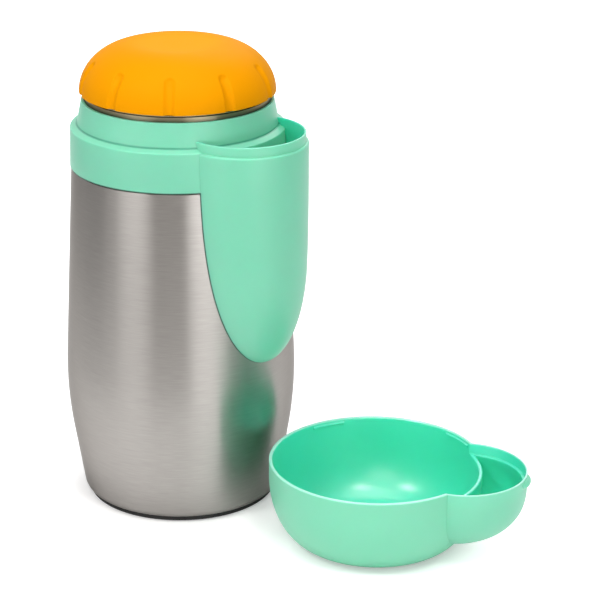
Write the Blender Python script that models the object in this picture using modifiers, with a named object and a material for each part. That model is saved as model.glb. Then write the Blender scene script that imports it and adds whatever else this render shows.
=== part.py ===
"""Insulated baby food jar: a vacuum-walled steel flask with a collar and a spoon pocket,
a screw stopper, and a lobed bowl cap that lies taken off beside it.

The origin is on the jar's axis, on the surface it stands on. +Z is up, and -Y faces the viewer.
"""
import math

import bmesh
import bpy
from mathutils import Matrix

MM = 0.001
FULL_TURN = 2 * math.pi

# Facets round a full circle
SEGMENTS = 36

# Clearances
FIT_GAP = 0.3 * MM
THREAD_GAP = 0.5 * MM
CAP_GAP = 0.25 * MM

# Steel body
BODY_HEIGHT = 140.1 * MM
BODY_RADIUS = 42.9 * MM
BODY_BULGE = 4.5 * MM
BULGE_HEIGHT = 45.2 * MM
BULGE_BLEND = 17.0 * MM
FOOT_TAPER = 2.85 * MM
FOOT_CORNER = 4.5 * MM
FOOT_TURN_IN = 1.2 * MM
STEEL_WALL = 0.6 * MM
COLLAR_SEAT_DEPTH = 1.5 * MM
SHOULDER_WIDTH = 6.0 * MM
SHOULDER_DROP = 6.4 * MM
LIP_RISE = 13.6 * MM

# Foot
FOOT_HEIGHT = 2.2 * MM
BASE_RECESS = 3.8 * MM
PUMP_HOLE_RADIUS = 1.5 * MM
PUMP_PLUG_HEAD = 2.0 * MM
PUMP_PLUG_THICKNESS = 0.7 * MM
GETTER_RADIUS = 6.0 * MM
GETTER_THICKNESS = 1.2 * MM
GETTER_OFFSET = 15.0 * MM
PAD_CHAMFER = 0.6 * MM

# Food cup
LINER_INSET = 5.9 * MM
LINER_LIFT = 2.3 * MM
LINER_CORNER = 8.0 * MM
NECK_VACUUM = 0.8 * MM
SEAT_LEDGE = 2.9 * MM
SEAT_DEPTH = 23.9 * MM
SEAT_LAND = 1.5 * MM
LINER_SHOULDER = 7.0 * MM
FOIL_THICKNESS = 0.25 * MM
FOIL_MARGIN = 3.0 * MM

# Collar
COLLAR_PROUD = 0.4 * MM
COLLAR_DRAFT = 0.5 * MM
COLLAR_RING_HEIGHT = 15.9 * MM
LEDGE_WIDTH = 2.6 * MM
LEDGE_ROUND = 0.9 * MM
LEDGE_SLOPE = 1.5 * MM
CONE_HEIGHT = 10.9 * MM
CONE_WALL = 1.1 * MM
SEAL_HEIGHT = 2.4 * MM
SEAL_WIDTH = 0.9 * MM

# Spoon pocket
POCKET_AZIMUTH = math.radians(-39)
POCKET_INSET = 7.9 * MM
POCKET_RADIUS = 25.2 * MM
POCKET_WALL = 2.0 * MM
POCKET_BACK_WALL = 1.2 * MM
POCKET_LIP = 3.9 * MM
POCKET_LIP_INSET = 1.1 * MM
POCKET_LENGTH = 73.6 * MM
POCKET_NOSE_CURVE = 40.0 * MM
POCKET_SINK = 1.6 * MM
POCKET_SQUARENESS = 2.45
POCKET_LEVELS = 9

# Stopper
DOME_OVERHANG = 2.15 * MM
DOME_HEIGHT = 19.1 * MM
DOME_FLAT = 17.0 * MM
DOME_DISH = 0.3 * MM
DOME_WALL = 2.0 * MM
DOME_EDGE = 0.5 * MM
GRIP_COUNT = 10
GRIP_PHASE = math.radians(-90.5)
GRIP_RADIUS = 2.9 * MM
GRIP_DEPTH = 1.0 * MM
GRIP_REACH = 43
GRIP_STEPS = 6
PLUG_WALL = 1.8 * MM
PLUG_FLANGE = 2.5 * MM
GASKET_HEIGHT = 3.4 * MM
GASKET_OVERLAP = 0.5 * MM
DISC_THICKNESS = 1.4 * MM
DISC_SPIGOT = 2.0 * MM
DISC_SPIGOT_WALL = 1.6 * MM
FOAM_BRIM = 2.8 * MM
FOAM_HEADROOM = 3.0 * MM

# Multi-start screw thread between the plug and the neck
THREAD_STARTS = 4
THREAD_LEAD = 16.0 * MM
THREAD_SPAN = math.radians(117)
THREAD_DEPTH = 1.4 * MM
THREAD_ROOT = 0.85 * MM
THREAD_CREST = 0.4 * MM
THREAD_LIFT = 8.0 * MM
THREAD_DROP = 1.5 * MM
THREAD_SINK = 0.3 * MM
THREAD_STEPS = 13

# Bowl cap
BOWL_WALL = 1.45 * MM
BOWL_FLOOR = 1.4 * MM
BOWL_HEADROOM = 0.4 * MM
BOWL_RIM_INSET = 0.5 * MM
BOWL_CORNER_WIDTH = 16.7 * MM
BOWL_CORNER_HEIGHT = 26.7 * MM
BOWL_STEPS = 8
LOBE_WALL = 0.75 * MM
LOBE_STEP = 4.3 * MM
LOBE_CORNER_HEIGHT = 23.0 * MM
LOBE_LIFT = 5.0 * MM
LOBE_SQUARENESS = 2.4
LOBE_LEAN = 0.3
LOBE_LEVELS = 7
SNAP_SPAN = math.radians(20)
SNAP_MIDDLE = math.radians(48)
SNAP_DEPTH = 0.4 * MM
SNAP_HEIGHT = 1.6 * MM
SNAP_DROP = 1.5 * MM
SNAP_STEPS = 4
TAB_REACH = 1.6 * MM
TAB_WIDTH = 12.0 * MM
TAB_HEIGHT = 4.6 * MM
BOWL_GAP = 4.3 * MM
BOWL_AZIMUTH = math.radians(-31)
LOBE_AZIMUTH = math.radians(-13.6)

# Heights and radii that several pieces share
COLLAR_Z = BODY_HEIGHT + FIT_GAP
LEDGE_Z = COLLAR_Z + COLLAR_RING_HEIGHT
LIP_Z = LEDGE_Z + LIP_RISE
STOPPER_Z = LIP_Z + FIT_GAP
DOME_TOP_Z = STOPPER_Z + DOME_HEIGHT
SEAT_Z = LIP_Z - SEAT_DEPTH
NECK_RADIUS = BODY_RADIUS - SHOULDER_WIDTH
FOOT_RADIUS = BODY_RADIUS - FOOT_TAPER
BASE_OPENING = FOOT_RADIUS - FOOT_TURN_IN
BASE_PLATE_Z = FOOT_HEIGHT + BASE_RECESS
LINER_RADIUS = BODY_RADIUS - LINER_INSET
LINER_FLOOR_Z = BASE_PLATE_Z + 2 * STEEL_WALL + LINER_LIFT
MOUTH_RADIUS = NECK_RADIUS - 2 * STEEL_WALL - NECK_VACUUM
SEAT_RADIUS = MOUTH_RADIUS - SEAT_LEDGE
COLLAR_RADIUS = BODY_RADIUS + COLLAR_PROUD
COLLAR_BORE = BODY_RADIUS - COLLAR_SEAT_DEPTH + FIT_GAP
LEDGE_RADIUS = COLLAR_RADIUS - COLLAR_DRAFT
CONE_FOOT_RADIUS = LEDGE_RADIUS - LEDGE_WIDTH
CONE_BORE = NECK_RADIUS + FIT_GAP
CONE_TOP_Z = LEDGE_Z + CONE_HEIGHT
LOBE_OFFSET = COLLAR_RADIUS - POCKET_INSET
LIP_RADIUS = POCKET_RADIUS - POCKET_LIP_INSET
POCKET_TIP_Z = BODY_HEIGHT - POCKET_LENGTH
THREAD_Z = SEAT_Z + THREAD_LIFT
CREST_RADIUS = MOUTH_RADIUS - THREAD_DEPTH
PLUG_RADIUS = CREST_RADIUS - THREAD_GAP
PLUG_BORE = PLUG_RADIUS - PLUG_WALL
GASKET_RADIUS = CREST_RADIUS - FIT_GAP
SPIGOT_RADIUS = PLUG_BORE - FIT_GAP
DISC_RADIUS = PLUG_BORE + GASKET_OVERLAP
DOME_RADIUS = NECK_RADIUS + DOME_OVERHANG
BOWL_RADIUS = LEDGE_RADIUS - BOWL_RIM_INSET
CAP_SEAT_SHARE = (BOWL_RIM_INSET + BOWL_WALL - LEDGE_ROUND) / (LEDGE_WIDTH - LEDGE_ROUND)
CAP_SEAT_Z = LEDGE_Z + LEDGE_SLOPE * CAP_SEAT_SHARE
BOWL_HEIGHT = DOME_TOP_Z - CAP_SEAT_Z + BOWL_HEADROOM + BOWL_FLOOR
LOBE_RADIUS = LIP_RADIUS + CAP_GAP + LOBE_WALL


def make_collection(name):
    collection = bpy.data.collections.new(name)
    bpy.context.scene.collection.children.link(collection)
    return collection


def make_material(name, colour, roughness, metallic=0.0):
    material = bpy.data.materials.new(name)
    material.use_nodes = True
    shader = material.node_tree.nodes["Principled BSDF"]
    shader.inputs["Base Color"].default_value = (*colour, 1.0)
    shader.inputs["Roughness"].default_value = roughness
    shader.inputs["Metallic"].default_value = metallic
    return material


def link_object(name, mesh, collection):
    piece = bpy.data.objects.new(name, mesh)
    collection.objects.link(piece)
    return piece


def ellipse_arc(centre, radii, start, end, steps):
    """Points (radius, height) on an ellipse from one angle to another, in degrees."""
    points = []
    for step in range(steps + 1):
        angle = math.radians(start + (end - start) * step / steps)
        points.append((centre[0] + radii[0] * math.cos(angle), centre[1] + radii[1] * math.sin(angle)))
    return points


def soft_corner(first, corner, last, steps):
    """Points on the parabola that rounds a corner between two straight runs."""
    points = []
    for step in range(steps + 1):
        t = step / steps
        weights = ((1 - t) ** 2, 2 * t * (1 - t), t * t)
        radius = weights[0] * first[0] + weights[1] * corner[0] + weights[2] * last[0]
        height = weights[0] * first[1] + weights[1] * corner[1] + weights[2] * last[1]
        points.append((radius, height))
    return points


def offset_path(points, distance):
    """The path moved sideways: towards the axis where it runs down, outwards for a negative distance."""
    normals = []
    for (r0, z0), (r1, z1) in zip(points, points[1:]):
        length = math.hypot(r1 - r0, z1 - z0)
        normals.append(((z1 - z0) / length, (r0 - r1) / length))
    moved = []
    for index, (radius, height) in enumerate(points):
        before = normals[max(index - 1, 0)]
        after = normals[min(index, len(normals) - 1)]
        reach = distance / (1 + before[0] * after[0] + before[1] * after[1])
        moved.append((radius + reach * (before[0] + after[0]), height + reach * (before[1] + after[1])))
    return moved


def turned(name, profile, collection):
    """A turned solid. Its profile runs down the outer side, and closes up unless it ends on the axis."""
    mesh = bpy.data.meshes.new(name)
    shape = bmesh.new()
    points = [shape.verts.new((radius, 0, height)) for radius, height in profile]
    for first, second in zip(points, points[1:]):
        shape.edges.new((first, second))
    if profile[0][0] > 0:
        shape.edges.new((points[-1], points[0]))
    shape.to_mesh(mesh)
    shape.free()
    piece = link_object(name, mesh, collection)
    screw = piece.modifiers.new("turn", "SCREW")
    screw.axis = "Z"
    screw.steps = SEGMENTS
    screw.render_steps = SEGMENTS
    screw.use_merge_vertices = True
    screw.merge_threshold = 0.01 * MM
    return piece


def loft(name, sections, collection):
    """A closed body through level circles, each (centre x, centre y, height, radius), lowest first."""
    mesh = bpy.data.meshes.new(name)
    shape = bmesh.new()
    rings = []
    for x, y, height, radius in sections:
        ring = []
        for step in range(SEGMENTS):
            angle = FULL_TURN * step / SEGMENTS
            ring.append(shape.verts.new((x + radius * math.cos(angle), y + radius * math.sin(angle), height)))
        rings.append(ring)
    for lower, upper in zip(rings, rings[1:]):
        for step in range(SEGMENTS):
            after = (step + 1) % SEGMENTS
            shape.faces.new((lower[step], lower[after], upper[after], upper[step]))
    shape.faces.new(list(reversed(rings[0])))
    shape.faces.new(rings[-1])
    shape.to_mesh(mesh)
    shape.free()
    return link_object(name, mesh, collection)


def evaluated_mesh(piece):
    """The piece's mesh as its modifiers or its curve make it; the piece itself is removed."""
    mesh = bpy.data.meshes.new_from_object(piece.evaluated_get(bpy.context.evaluated_depsgraph_get()))
    bpy.data.objects.remove(piece)
    return mesh


def repeated_round_axis(name, mesh, count, phase, collection):
    """One body for shaping: closed copies of a mesh, set evenly round the axis."""
    shape = bmesh.new()
    for index in range(count):
        copy = mesh.copy()
        copy.transform(Matrix.Rotation(phase + FULL_TURN * index / count, 4, "Z"))
        shape.from_mesh(copy)
        bpy.data.meshes.remove(copy)
    bmesh.ops.remove_doubles(shape, verts=shape.verts, dist=0.001 * MM)
    bmesh.ops.holes_fill(shape, edges=[edge for edge in shape.edges if edge.is_boundary])
    bmesh.ops.recalc_face_normals(shape, faces=shape.faces)
    shape.to_mesh(mesh)
    shape.free()
    return as_operand(link_object(name, mesh, collection))


def swept_ridge(name, profile, span, rise, steps, collection):
    """Mesh of a closed section swept through an angle while it climbs, open at its ends."""
    sweep = turned(name, profile, collection)
    screw = sweep.modifiers["turn"]
    screw.angle = span
    screw.screw_offset = rise
    screw.steps = steps
    screw.render_steps = steps
    screw.use_merge_vertices = False
    return evaluated_mesh(sweep)


def tube(name, path, radius, collection):
    """Mesh of a round tube along (radius, height) points in the XZ plane, with filled ends."""
    curve = bpy.data.curves.new(name, "CURVE")
    curve.dimensions = "3D"
    spline = curve.splines.new("POLY")
    spline.points.add(len(path) - 1)
    for point, (across, height) in zip(spline.points, path):
        point.co = (across, 0, height, 1)
    curve.bevel_depth = radius
    curve.bevel_resolution = 1
    curve.use_fill_caps = True
    return evaluated_mesh(link_object(name, curve, collection))


def as_operand(piece):
    """Marks a body that only shapes other pieces."""
    piece.hide_render = True
    piece.display_type = "WIRE"
    return piece


def combine(piece, operand, operation):
    modifier = piece.modifiers.new(operand.name, "BOOLEAN")
    modifier.operation = operation
    modifier.solver = "EXACT"
    modifier.object = operand


def settle(piece, parent):
    """Puts a piece, and the bodies that shape it, in its parent's frame."""
    piece.parent = parent
    for modifier in piece.modifiers:
        if modifier.type == "BOOLEAN":
            settle(modifier.object, parent)


def finish(piece, material, parent):
    piece.data.materials.append(material)
    piece.data.shade_smooth()
    piece.data.set_sharp_from_angle(angle=math.radians(35))
    settle(piece, parent)


def body_side():
    """The steel's side from the collar's seat to the lower taper, as (radius, height) points."""
    top = (BODY_RADIUS, BODY_HEIGHT)
    bulge = (BODY_RADIUS + BODY_BULGE, BULGE_HEIGHT)
    rise = BULGE_BLEND / (BODY_HEIGHT - BULGE_HEIGHT)
    fall = BULGE_BLEND / BULGE_HEIGHT
    above = (bulge[0] - BODY_BULGE * rise, bulge[1] + BULGE_BLEND)
    below = (bulge[0] - (BODY_BULGE + FOOT_TAPER) * fall, bulge[1] - BULGE_BLEND)
    return [top] + soft_corner(above, bulge, below, 5)


def body_radius(height):
    """The steel's outer radius at a height up to the collar's seat."""
    points = body_side() + [(FOOT_RADIUS, 0.0)]
    for (upper_radius, upper_z), (lower_radius, lower_z) in zip(points, points[1:]):
        if height >= lower_z:
            share = (height - lower_z) / (upper_z - lower_z)
            return lower_radius + (upper_radius - lower_radius) * share
    return FOOT_RADIUS


def make_shell(parts):
    """The deep-drawn outer wall: neck, shoulder, collar seat, bulging side and turned-in foot."""
    seat_radius = BODY_RADIUS - COLLAR_SEAT_DEPTH
    neck_top = LIP_Z - STEEL_WALL - FIT_GAP
    shoulder = [(NECK_RADIUS, neck_top), (NECK_RADIUS, LEDGE_Z), (seat_radius, LEDGE_Z - SHOULDER_DROP),
                (seat_radius, BODY_HEIGHT)]
    corner = soft_corner(
        (body_radius(FOOT_CORNER), FOOT_CORNER), (FOOT_RADIUS, FOOT_HEIGHT), (BASE_OPENING, FOOT_HEIGHT), 3)
    outside = shoulder + body_side() + corner
    inside = offset_path(outside, STEEL_WALL)
    return turned("outer_shell", outside + inside[::-1], parts)


def make_base_plate(parts):
    """The pressed plate that closes the shell's lower opening, with its pump-out hole."""
    rim = BASE_OPENING - FIT_GAP
    top = BASE_PLATE_Z + STEEL_WALL
    return turned("base_plate", [
        (PUMP_HOLE_RADIUS, top), (rim, top), (rim, FOOT_HEIGHT), (rim - STEEL_WALL, FOOT_HEIGHT),
        (rim - STEEL_WALL, BASE_PLATE_Z), (PUMP_HOLE_RADIUS, BASE_PLATE_Z)], parts)


def pump_plug_head():
    """Radius, upper height and lower height of the pump-out seal's head."""
    top = BASE_PLATE_Z - FIT_GAP
    return PUMP_HOLE_RADIUS + PUMP_PLUG_HEAD, top, top - PUMP_PLUG_THICKNESS


def make_vacuum_plug(parts):
    head, head_top, head_under = pump_plug_head()
    shank = PUMP_HOLE_RADIUS - FIT_GAP
    shank_top = BASE_PLATE_Z + STEEL_WALL
    return turned("vacuum_plug", [
        (0, shank_top), (shank, shank_top), (shank, head_top), (head, head_top),
        (head, head_under), (0, head_under)], parts)


def make_getter(parts):
    low = BASE_PLATE_Z + STEEL_WALL + FIT_GAP
    high = low + GETTER_THICKNESS
    getter = turned("getter_disc", [(0, high), (GETTER_RADIUS, high), (GETTER_RADIUS, low), (0, low)], parts)
    getter.location.x = GETTER_OFFSET
    return getter


def make_pad(parts):
    """The soft foot: a boss in the base plate's recess and a brim that the jar stands on."""
    head, _, head_under = pump_plug_head()
    brim = BASE_OPENING - FIT_GAP
    boss = brim - STEEL_WALL - FIT_GAP
    boss_top = BASE_PLATE_Z - FIT_GAP
    brim_top = FOOT_HEIGHT - FIT_GAP
    hollow = head + FIT_GAP
    hollow_floor = head_under - FIT_GAP
    return turned("base_pad", [
        (0, hollow_floor), (hollow, hollow_floor), (hollow, boss_top), (boss, boss_top), (boss, brim_top),
        (brim, brim_top), (brim, PAD_CHAMFER), (brim - PAD_CHAMFER, 0), (0, 0)], parts)


def thread_section(root, crest, middle):
    """Section of a thread ridge from its root radius to its crest, sunk a little into its wall."""
    sunk = root + math.copysign(THREAD_SINK, root - crest)
    return [
        (crest, middle + THREAD_CREST), (root, middle + THREAD_ROOT), (sunk, middle + THREAD_ROOT),
        (sunk, middle - THREAD_ROOT), (root, middle - THREAD_ROOT), (crest, middle - THREAD_CREST)]


def thread_ridges(name, root, crest, middle, operands):
    rise = THREAD_LEAD * THREAD_SPAN / FULL_TURN
    section = thread_section(root, crest, middle)
    ridge = swept_ridge(name, section, THREAD_SPAN, rise, THREAD_STEPS, operands)
    return repeated_round_axis(name, ridge, THREAD_STARTS, 0.0, operands)


def make_liner(parts, operands):
    """The food cup: rolled lip, threaded neck, conical gasket seat, and a straight drawn cup below."""
    shoulder_z = SEAT_Z - SEAT_LAND - LINER_SHOULDER
    corner = ellipse_arc((LINER_RADIUS - LINER_CORNER, LINER_FLOOR_Z + LINER_CORNER),
                         (LINER_CORNER, LINER_CORNER), 0, -90, 4)
    inside = [(MOUTH_RADIUS, LIP_Z), (MOUTH_RADIUS, SEAT_Z + SEAT_LEDGE), (SEAT_RADIUS, SEAT_Z),
              (SEAT_RADIUS, SEAT_Z - SEAT_LAND), (LINER_RADIUS, shoulder_z)] + corner + [(0, LINER_FLOOR_Z)]
    outside = offset_path(inside, -STEEL_WALL)
    lip_under = LIP_Z - STEEL_WALL
    lip = [(NECK_RADIUS, LIP_Z), (NECK_RADIUS, lip_under), (MOUTH_RADIUS + STEEL_WALL, lip_under)]
    liner = turned("inner_liner", inside[::-1] + lip + outside[1:], parts)
    combine(liner, thread_ridges("neck_thread", MOUTH_RADIUS, CREST_RADIUS, THREAD_Z, operands), "UNION")
    return liner


def make_foil(parts):
    inner = LINER_RADIUS + STEEL_WALL + FIT_GAP
    outer = inner + FOIL_THICKNESS
    low = LINER_FLOOR_Z + LINER_CORNER + FOIL_MARGIN
    high = SEAT_Z - SEAT_LAND - LINER_SHOULDER - FOIL_MARGIN
    return turned("liner_foil", [(outer, high), (outer, low), (inner, low), (inner, high)], parts)


def collar_side():
    """The collar's outer side above its ring: tapered neck and the sloping ledge at its foot."""
    return [(CONE_BORE + CONE_WALL, CONE_TOP_Z), (CONE_FOOT_RADIUS, LEDGE_Z + LEDGE_SLOPE),
            (LEDGE_RADIUS - LEDGE_ROUND, LEDGE_Z), (LEDGE_RADIUS, LEDGE_Z - LEDGE_ROUND)]


def seal_bore():
    return CONE_BORE + SEAL_WIDTH + FIT_GAP


def pocket_place(distance):
    return distance * math.cos(POCKET_AZIMUTH), distance * math.sin(POCKET_AZIMUTH)


def pocket_levels(wall):
    """Level circles of the pocket below the collar's seat, a wall's thickness inside its outer face."""
    tip_z = POCKET_TIP_Z + wall
    depth = BODY_HEIGHT - tip_z
    curve_top = POCKET_TIP_Z + POCKET_NOSE_CURVE
    nose = LOBE_OFFSET + POCKET_RADIUS - wall
    sunk = body_radius(POCKET_TIP_Z) - POCKET_SINK
    sections = []
    for level in range(1, POCKET_LEVELS + 1):
        share = math.cos(FULL_TURN / 4 * level / POCKET_LEVELS)
        height = BODY_HEIGHT - depth * share
        radius = (POCKET_RADIUS - wall) * (1 - share ** POCKET_SQUARENESS) ** (1 / POCKET_SQUARENESS)
        reach = nose
        if height < curve_top:
            drop = (curve_top - height) / (curve_top - tip_z)
            reach = sunk + (nose - sunk) * math.sqrt(1 - drop * drop)
        sections.append((*pocket_place(reach - radius), height, radius))
    return sections


def make_pocket(operands):
    """The hollow pocket with its back wall, before it joins the collar's ring."""
    place = pocket_place(LOBE_OFFSET)
    lip_z = LEDGE_Z + POCKET_LIP
    outer = loft("pocket_outside", pocket_levels(0.0) + [
        (*place, LEDGE_Z - LEDGE_ROUND, POCKET_RADIUS), (*place, LEDGE_Z, POCKET_RADIUS - LEDGE_ROUND),
        (*place, LEDGE_Z, LIP_RADIUS), (*place, lip_z, LIP_RADIUS)], operands)
    inner = loft("pocket_inside", pocket_levels(POCKET_WALL) + [
        (*place, lip_z + POCKET_LIP, POCKET_RADIUS - POCKET_WALL)], operands)

    buried = FIT_GAP / 2
    bottom = POCKET_TIP_Z - POCKET_NOSE_CURVE / 2
    side = [point for point in body_side() if point[1] > bottom] + [(body_radius(bottom), bottom)]
    ring_side = [(radius - buried, height - buried) for radius, height in collar_side()]
    back_side = offset_path(side, -(FIT_GAP + POCKET_BACK_WALL))
    back = turned("pocket_back", [(0, ring_side[0][1]), *ring_side, *back_side, (0, bottom)], operands)
    combine(inner, as_operand(back), "DIFFERENCE")

    mid_cone = (CONE_FOOT_RADIUS + seal_bore()) / 2
    mid_ring = (LEDGE_RADIUS + COLLAR_BORE) / 2
    steel_side = offset_path(side, -FIT_GAP)
    core = turned("pocket_core", [
        (0, CONE_TOP_Z), (mid_cone, CONE_TOP_Z), (mid_cone, LEDGE_Z - LEDGE_ROUND),
        (mid_ring, LEDGE_Z - SHOULDER_DROP), (mid_ring, COLLAR_Z + LEDGE_ROUND),
        *steel_side, (0, bottom)], operands)
    combine(outer, as_operand(inner), "DIFFERENCE")
    combine(outer, as_operand(core), "DIFFERENCE")
    return as_operand(outer)


def make_collar(parts, operands):
    """The moulded collar: ring on the steel's seat, ledge for the cap, tapered neck ring, pocket."""
    shoulder_foot = LEDGE_Z - SHOULDER_DROP
    seal_top = LEDGE_Z + LEDGE_SLOPE + SEAL_HEIGHT
    inside = [
        (COLLAR_BORE, COLLAR_Z), (COLLAR_BORE, shoulder_foot), (seal_bore(), LEDGE_Z - FIT_GAP),
        (seal_bore(), seal_top), (CONE_BORE, seal_top), (CONE_BORE, CONE_TOP_Z)]
    collar = turned("collar", collar_side() + [(COLLAR_RADIUS, COLLAR_Z)] + inside, parts)
    combine(collar, make_pocket(operands), "UNION")
    return collar


def make_collar_seal(parts):
    inner = CONE_BORE
    outer = inner + SEAL_WIDTH
    high = LEDGE_Z + LEDGE_SLOPE + SEAL_HEIGHT - FIT_GAP
    low = high - SEAL_HEIGHT
    return turned("collar_seal", [(outer, high), (outer, low), (inner, low), (inner, high)], parts)


def make_dome(parts, operands):
    """The hand grip of the stopper: a dished dome with finger grooves round its skirt."""
    shoulder = ellipse_arc((DOME_FLAT, STOPPER_Z), (DOME_RADIUS - DOME_FLAT, DOME_HEIGHT), 90, 3, 9)
    outside = [(0, DOME_TOP_Z - DOME_DISH)] + shoulder + [(DOME_RADIUS - DOME_EDGE, STOPPER_Z)]
    skirt = DOME_RADIUS - DOME_WALL
    skirt_top = STOPPER_Z + PLUG_FLANGE + FIT_GAP
    inner_arc = ellipse_arc(
        (DOME_FLAT, skirt_top), (skirt - DOME_FLAT, DOME_TOP_Z - DOME_DISH - DOME_WALL - skirt_top), 0, 90, 6)
    inside = [(skirt, STOPPER_Z)] + inner_arc + [(0, inner_arc[-1][1])]
    dome = turned("stopper_dome", outside + inside, parts)

    stand_off = GRIP_RADIUS - GRIP_DEPTH
    meridian = ellipse_arc((DOME_FLAT, STOPPER_Z), (DOME_RADIUS - DOME_FLAT, DOME_HEIGHT),
                           -GRIP_REACH / GRIP_STEPS, GRIP_REACH, GRIP_STEPS + 1)
    groove = tube("grip_groove", offset_path(meridian[::-1], -stand_off), GRIP_RADIUS, operands)
    grooves = repeated_round_axis("grip_grooves", groove, GRIP_COUNT, GRIP_PHASE, operands)
    combine(dome, grooves, "DIFFERENCE")
    return dome


def gasket_heights():
    """Lower and upper height of the gasket, which seats on the cone below the neck's thread."""
    low = SEAT_Z + 2 * FIT_GAP
    return low, low + GASKET_HEIGHT


def make_plug(parts, operands):
    """The threaded tube of the stopper, with the flange that sits on the jar's lip."""
    flange = DOME_RADIUS - DOME_WALL - FIT_GAP
    flange_top = STOPPER_Z + PLUG_FLANGE
    foot = gasket_heights()[1] + FIT_GAP
    plug = turned("stopper_plug", [
        (flange, flange_top), (flange, STOPPER_Z), (PLUG_RADIUS, STOPPER_Z), (PLUG_RADIUS, foot),
        (PLUG_BORE, foot), (PLUG_BORE, flange_top)], parts)
    crest = MOUTH_RADIUS - THREAD_GAP
    combine(plug, thread_ridges("plug_thread", PLUG_RADIUS, crest, THREAD_Z - THREAD_DROP, operands), "UNION")
    return plug


def make_gasket(parts):
    low, high = gasket_heights()
    chamfer = GASKET_RADIUS - SEAT_RADIUS - FIT_GAP
    return turned("stopper_gasket", [
        (GASKET_RADIUS, high), (GASKET_RADIUS, low + chamfer), (GASKET_RADIUS - chamfer, low),
        (PLUG_BORE, low), (PLUG_BORE, high)], parts)


def disc_heights():
    """Lower and upper height of the disc's flange, and the top of its spigot."""
    flange_top = gasket_heights()[0] - FIT_GAP
    spigot_top = gasket_heights()[1] + FIT_GAP + DISC_SPIGOT
    return flange_top - DISC_THICKNESS, flange_top, spigot_top


def make_disc(parts):
    """The cover under the plug: a spigot ring in the plug's tube and a flange under the gasket."""
    flange_low, flange_top, spigot_top = disc_heights()
    spigot_bore = SPIGOT_RADIUS - DISC_SPIGOT_WALL
    return turned("stopper_disc", [
        (0, flange_top), (spigot_bore, flange_top), (spigot_bore, spigot_top), (SPIGOT_RADIUS, spigot_top),
        (SPIGOT_RADIUS, flange_top), (DISC_RADIUS, flange_top), (DISC_RADIUS, flange_low),
        (0, flange_low)], parts)


def make_foam(parts):
    """Insulation that fills the disc's spigot, the plug's tube and the hollow of the dome."""
    low = disc_heights()[1] + FIT_GAP
    tube_low = disc_heights()[2] + FIT_GAP
    foot = SPIGOT_RADIUS - DISC_SPIGOT_WALL - FIT_GAP
    brim = SPIGOT_RADIUS + FOAM_BRIM
    brim_z = STOPPER_Z + PLUG_FLANGE + FIT_GAP
    crown_z = DOME_TOP_Z - FOAM_HEADROOM
    crown = ellipse_arc((DOME_FLAT, brim_z), (brim - DOME_FLAT, crown_z - brim_z), 90, 0, 4)
    return turned("stopper_foam", [
        (0, crown_z), *crown, (SPIGOT_RADIUS, brim_z), (SPIGOT_RADIUS, tube_low), (foot, tube_low),
        (foot, low), (0, low)], parts)


def bowl_side(wall, floor):
    """The bowl's side from rim to floor, moved in by a wall's thickness, as (radius, height) points."""
    flat = BOWL_RADIUS - BOWL_CORNER_WIDTH
    corner = ellipse_arc((flat, BOWL_CORNER_HEIGHT),
                         (BOWL_CORNER_WIDTH - wall, BOWL_CORNER_HEIGHT - floor), 0, -90, BOWL_STEPS)
    return corner + [(0, floor)]


def lobe_levels(wall, bottom):
    """Level circles of the lobe's rounded underside, lowest first."""
    top = LOBE_LIFT + LOBE_CORNER_HEIGHT
    sections = []
    for level in range(1, LOBE_LEVELS + 1):
        share = math.cos(FULL_TURN / 4 * level / LOBE_LEVELS)
        radius = (LOBE_RADIUS - wall) * (1 - share ** LOBE_SQUARENESS) ** (1 / LOBE_SQUARENESS)
        lean = LOBE_LEAN * (LOBE_RADIUS - wall - radius)
        sections.append((LOBE_OFFSET - lean, 0, top - (top - bottom) * share, radius))
    return sections


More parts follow.
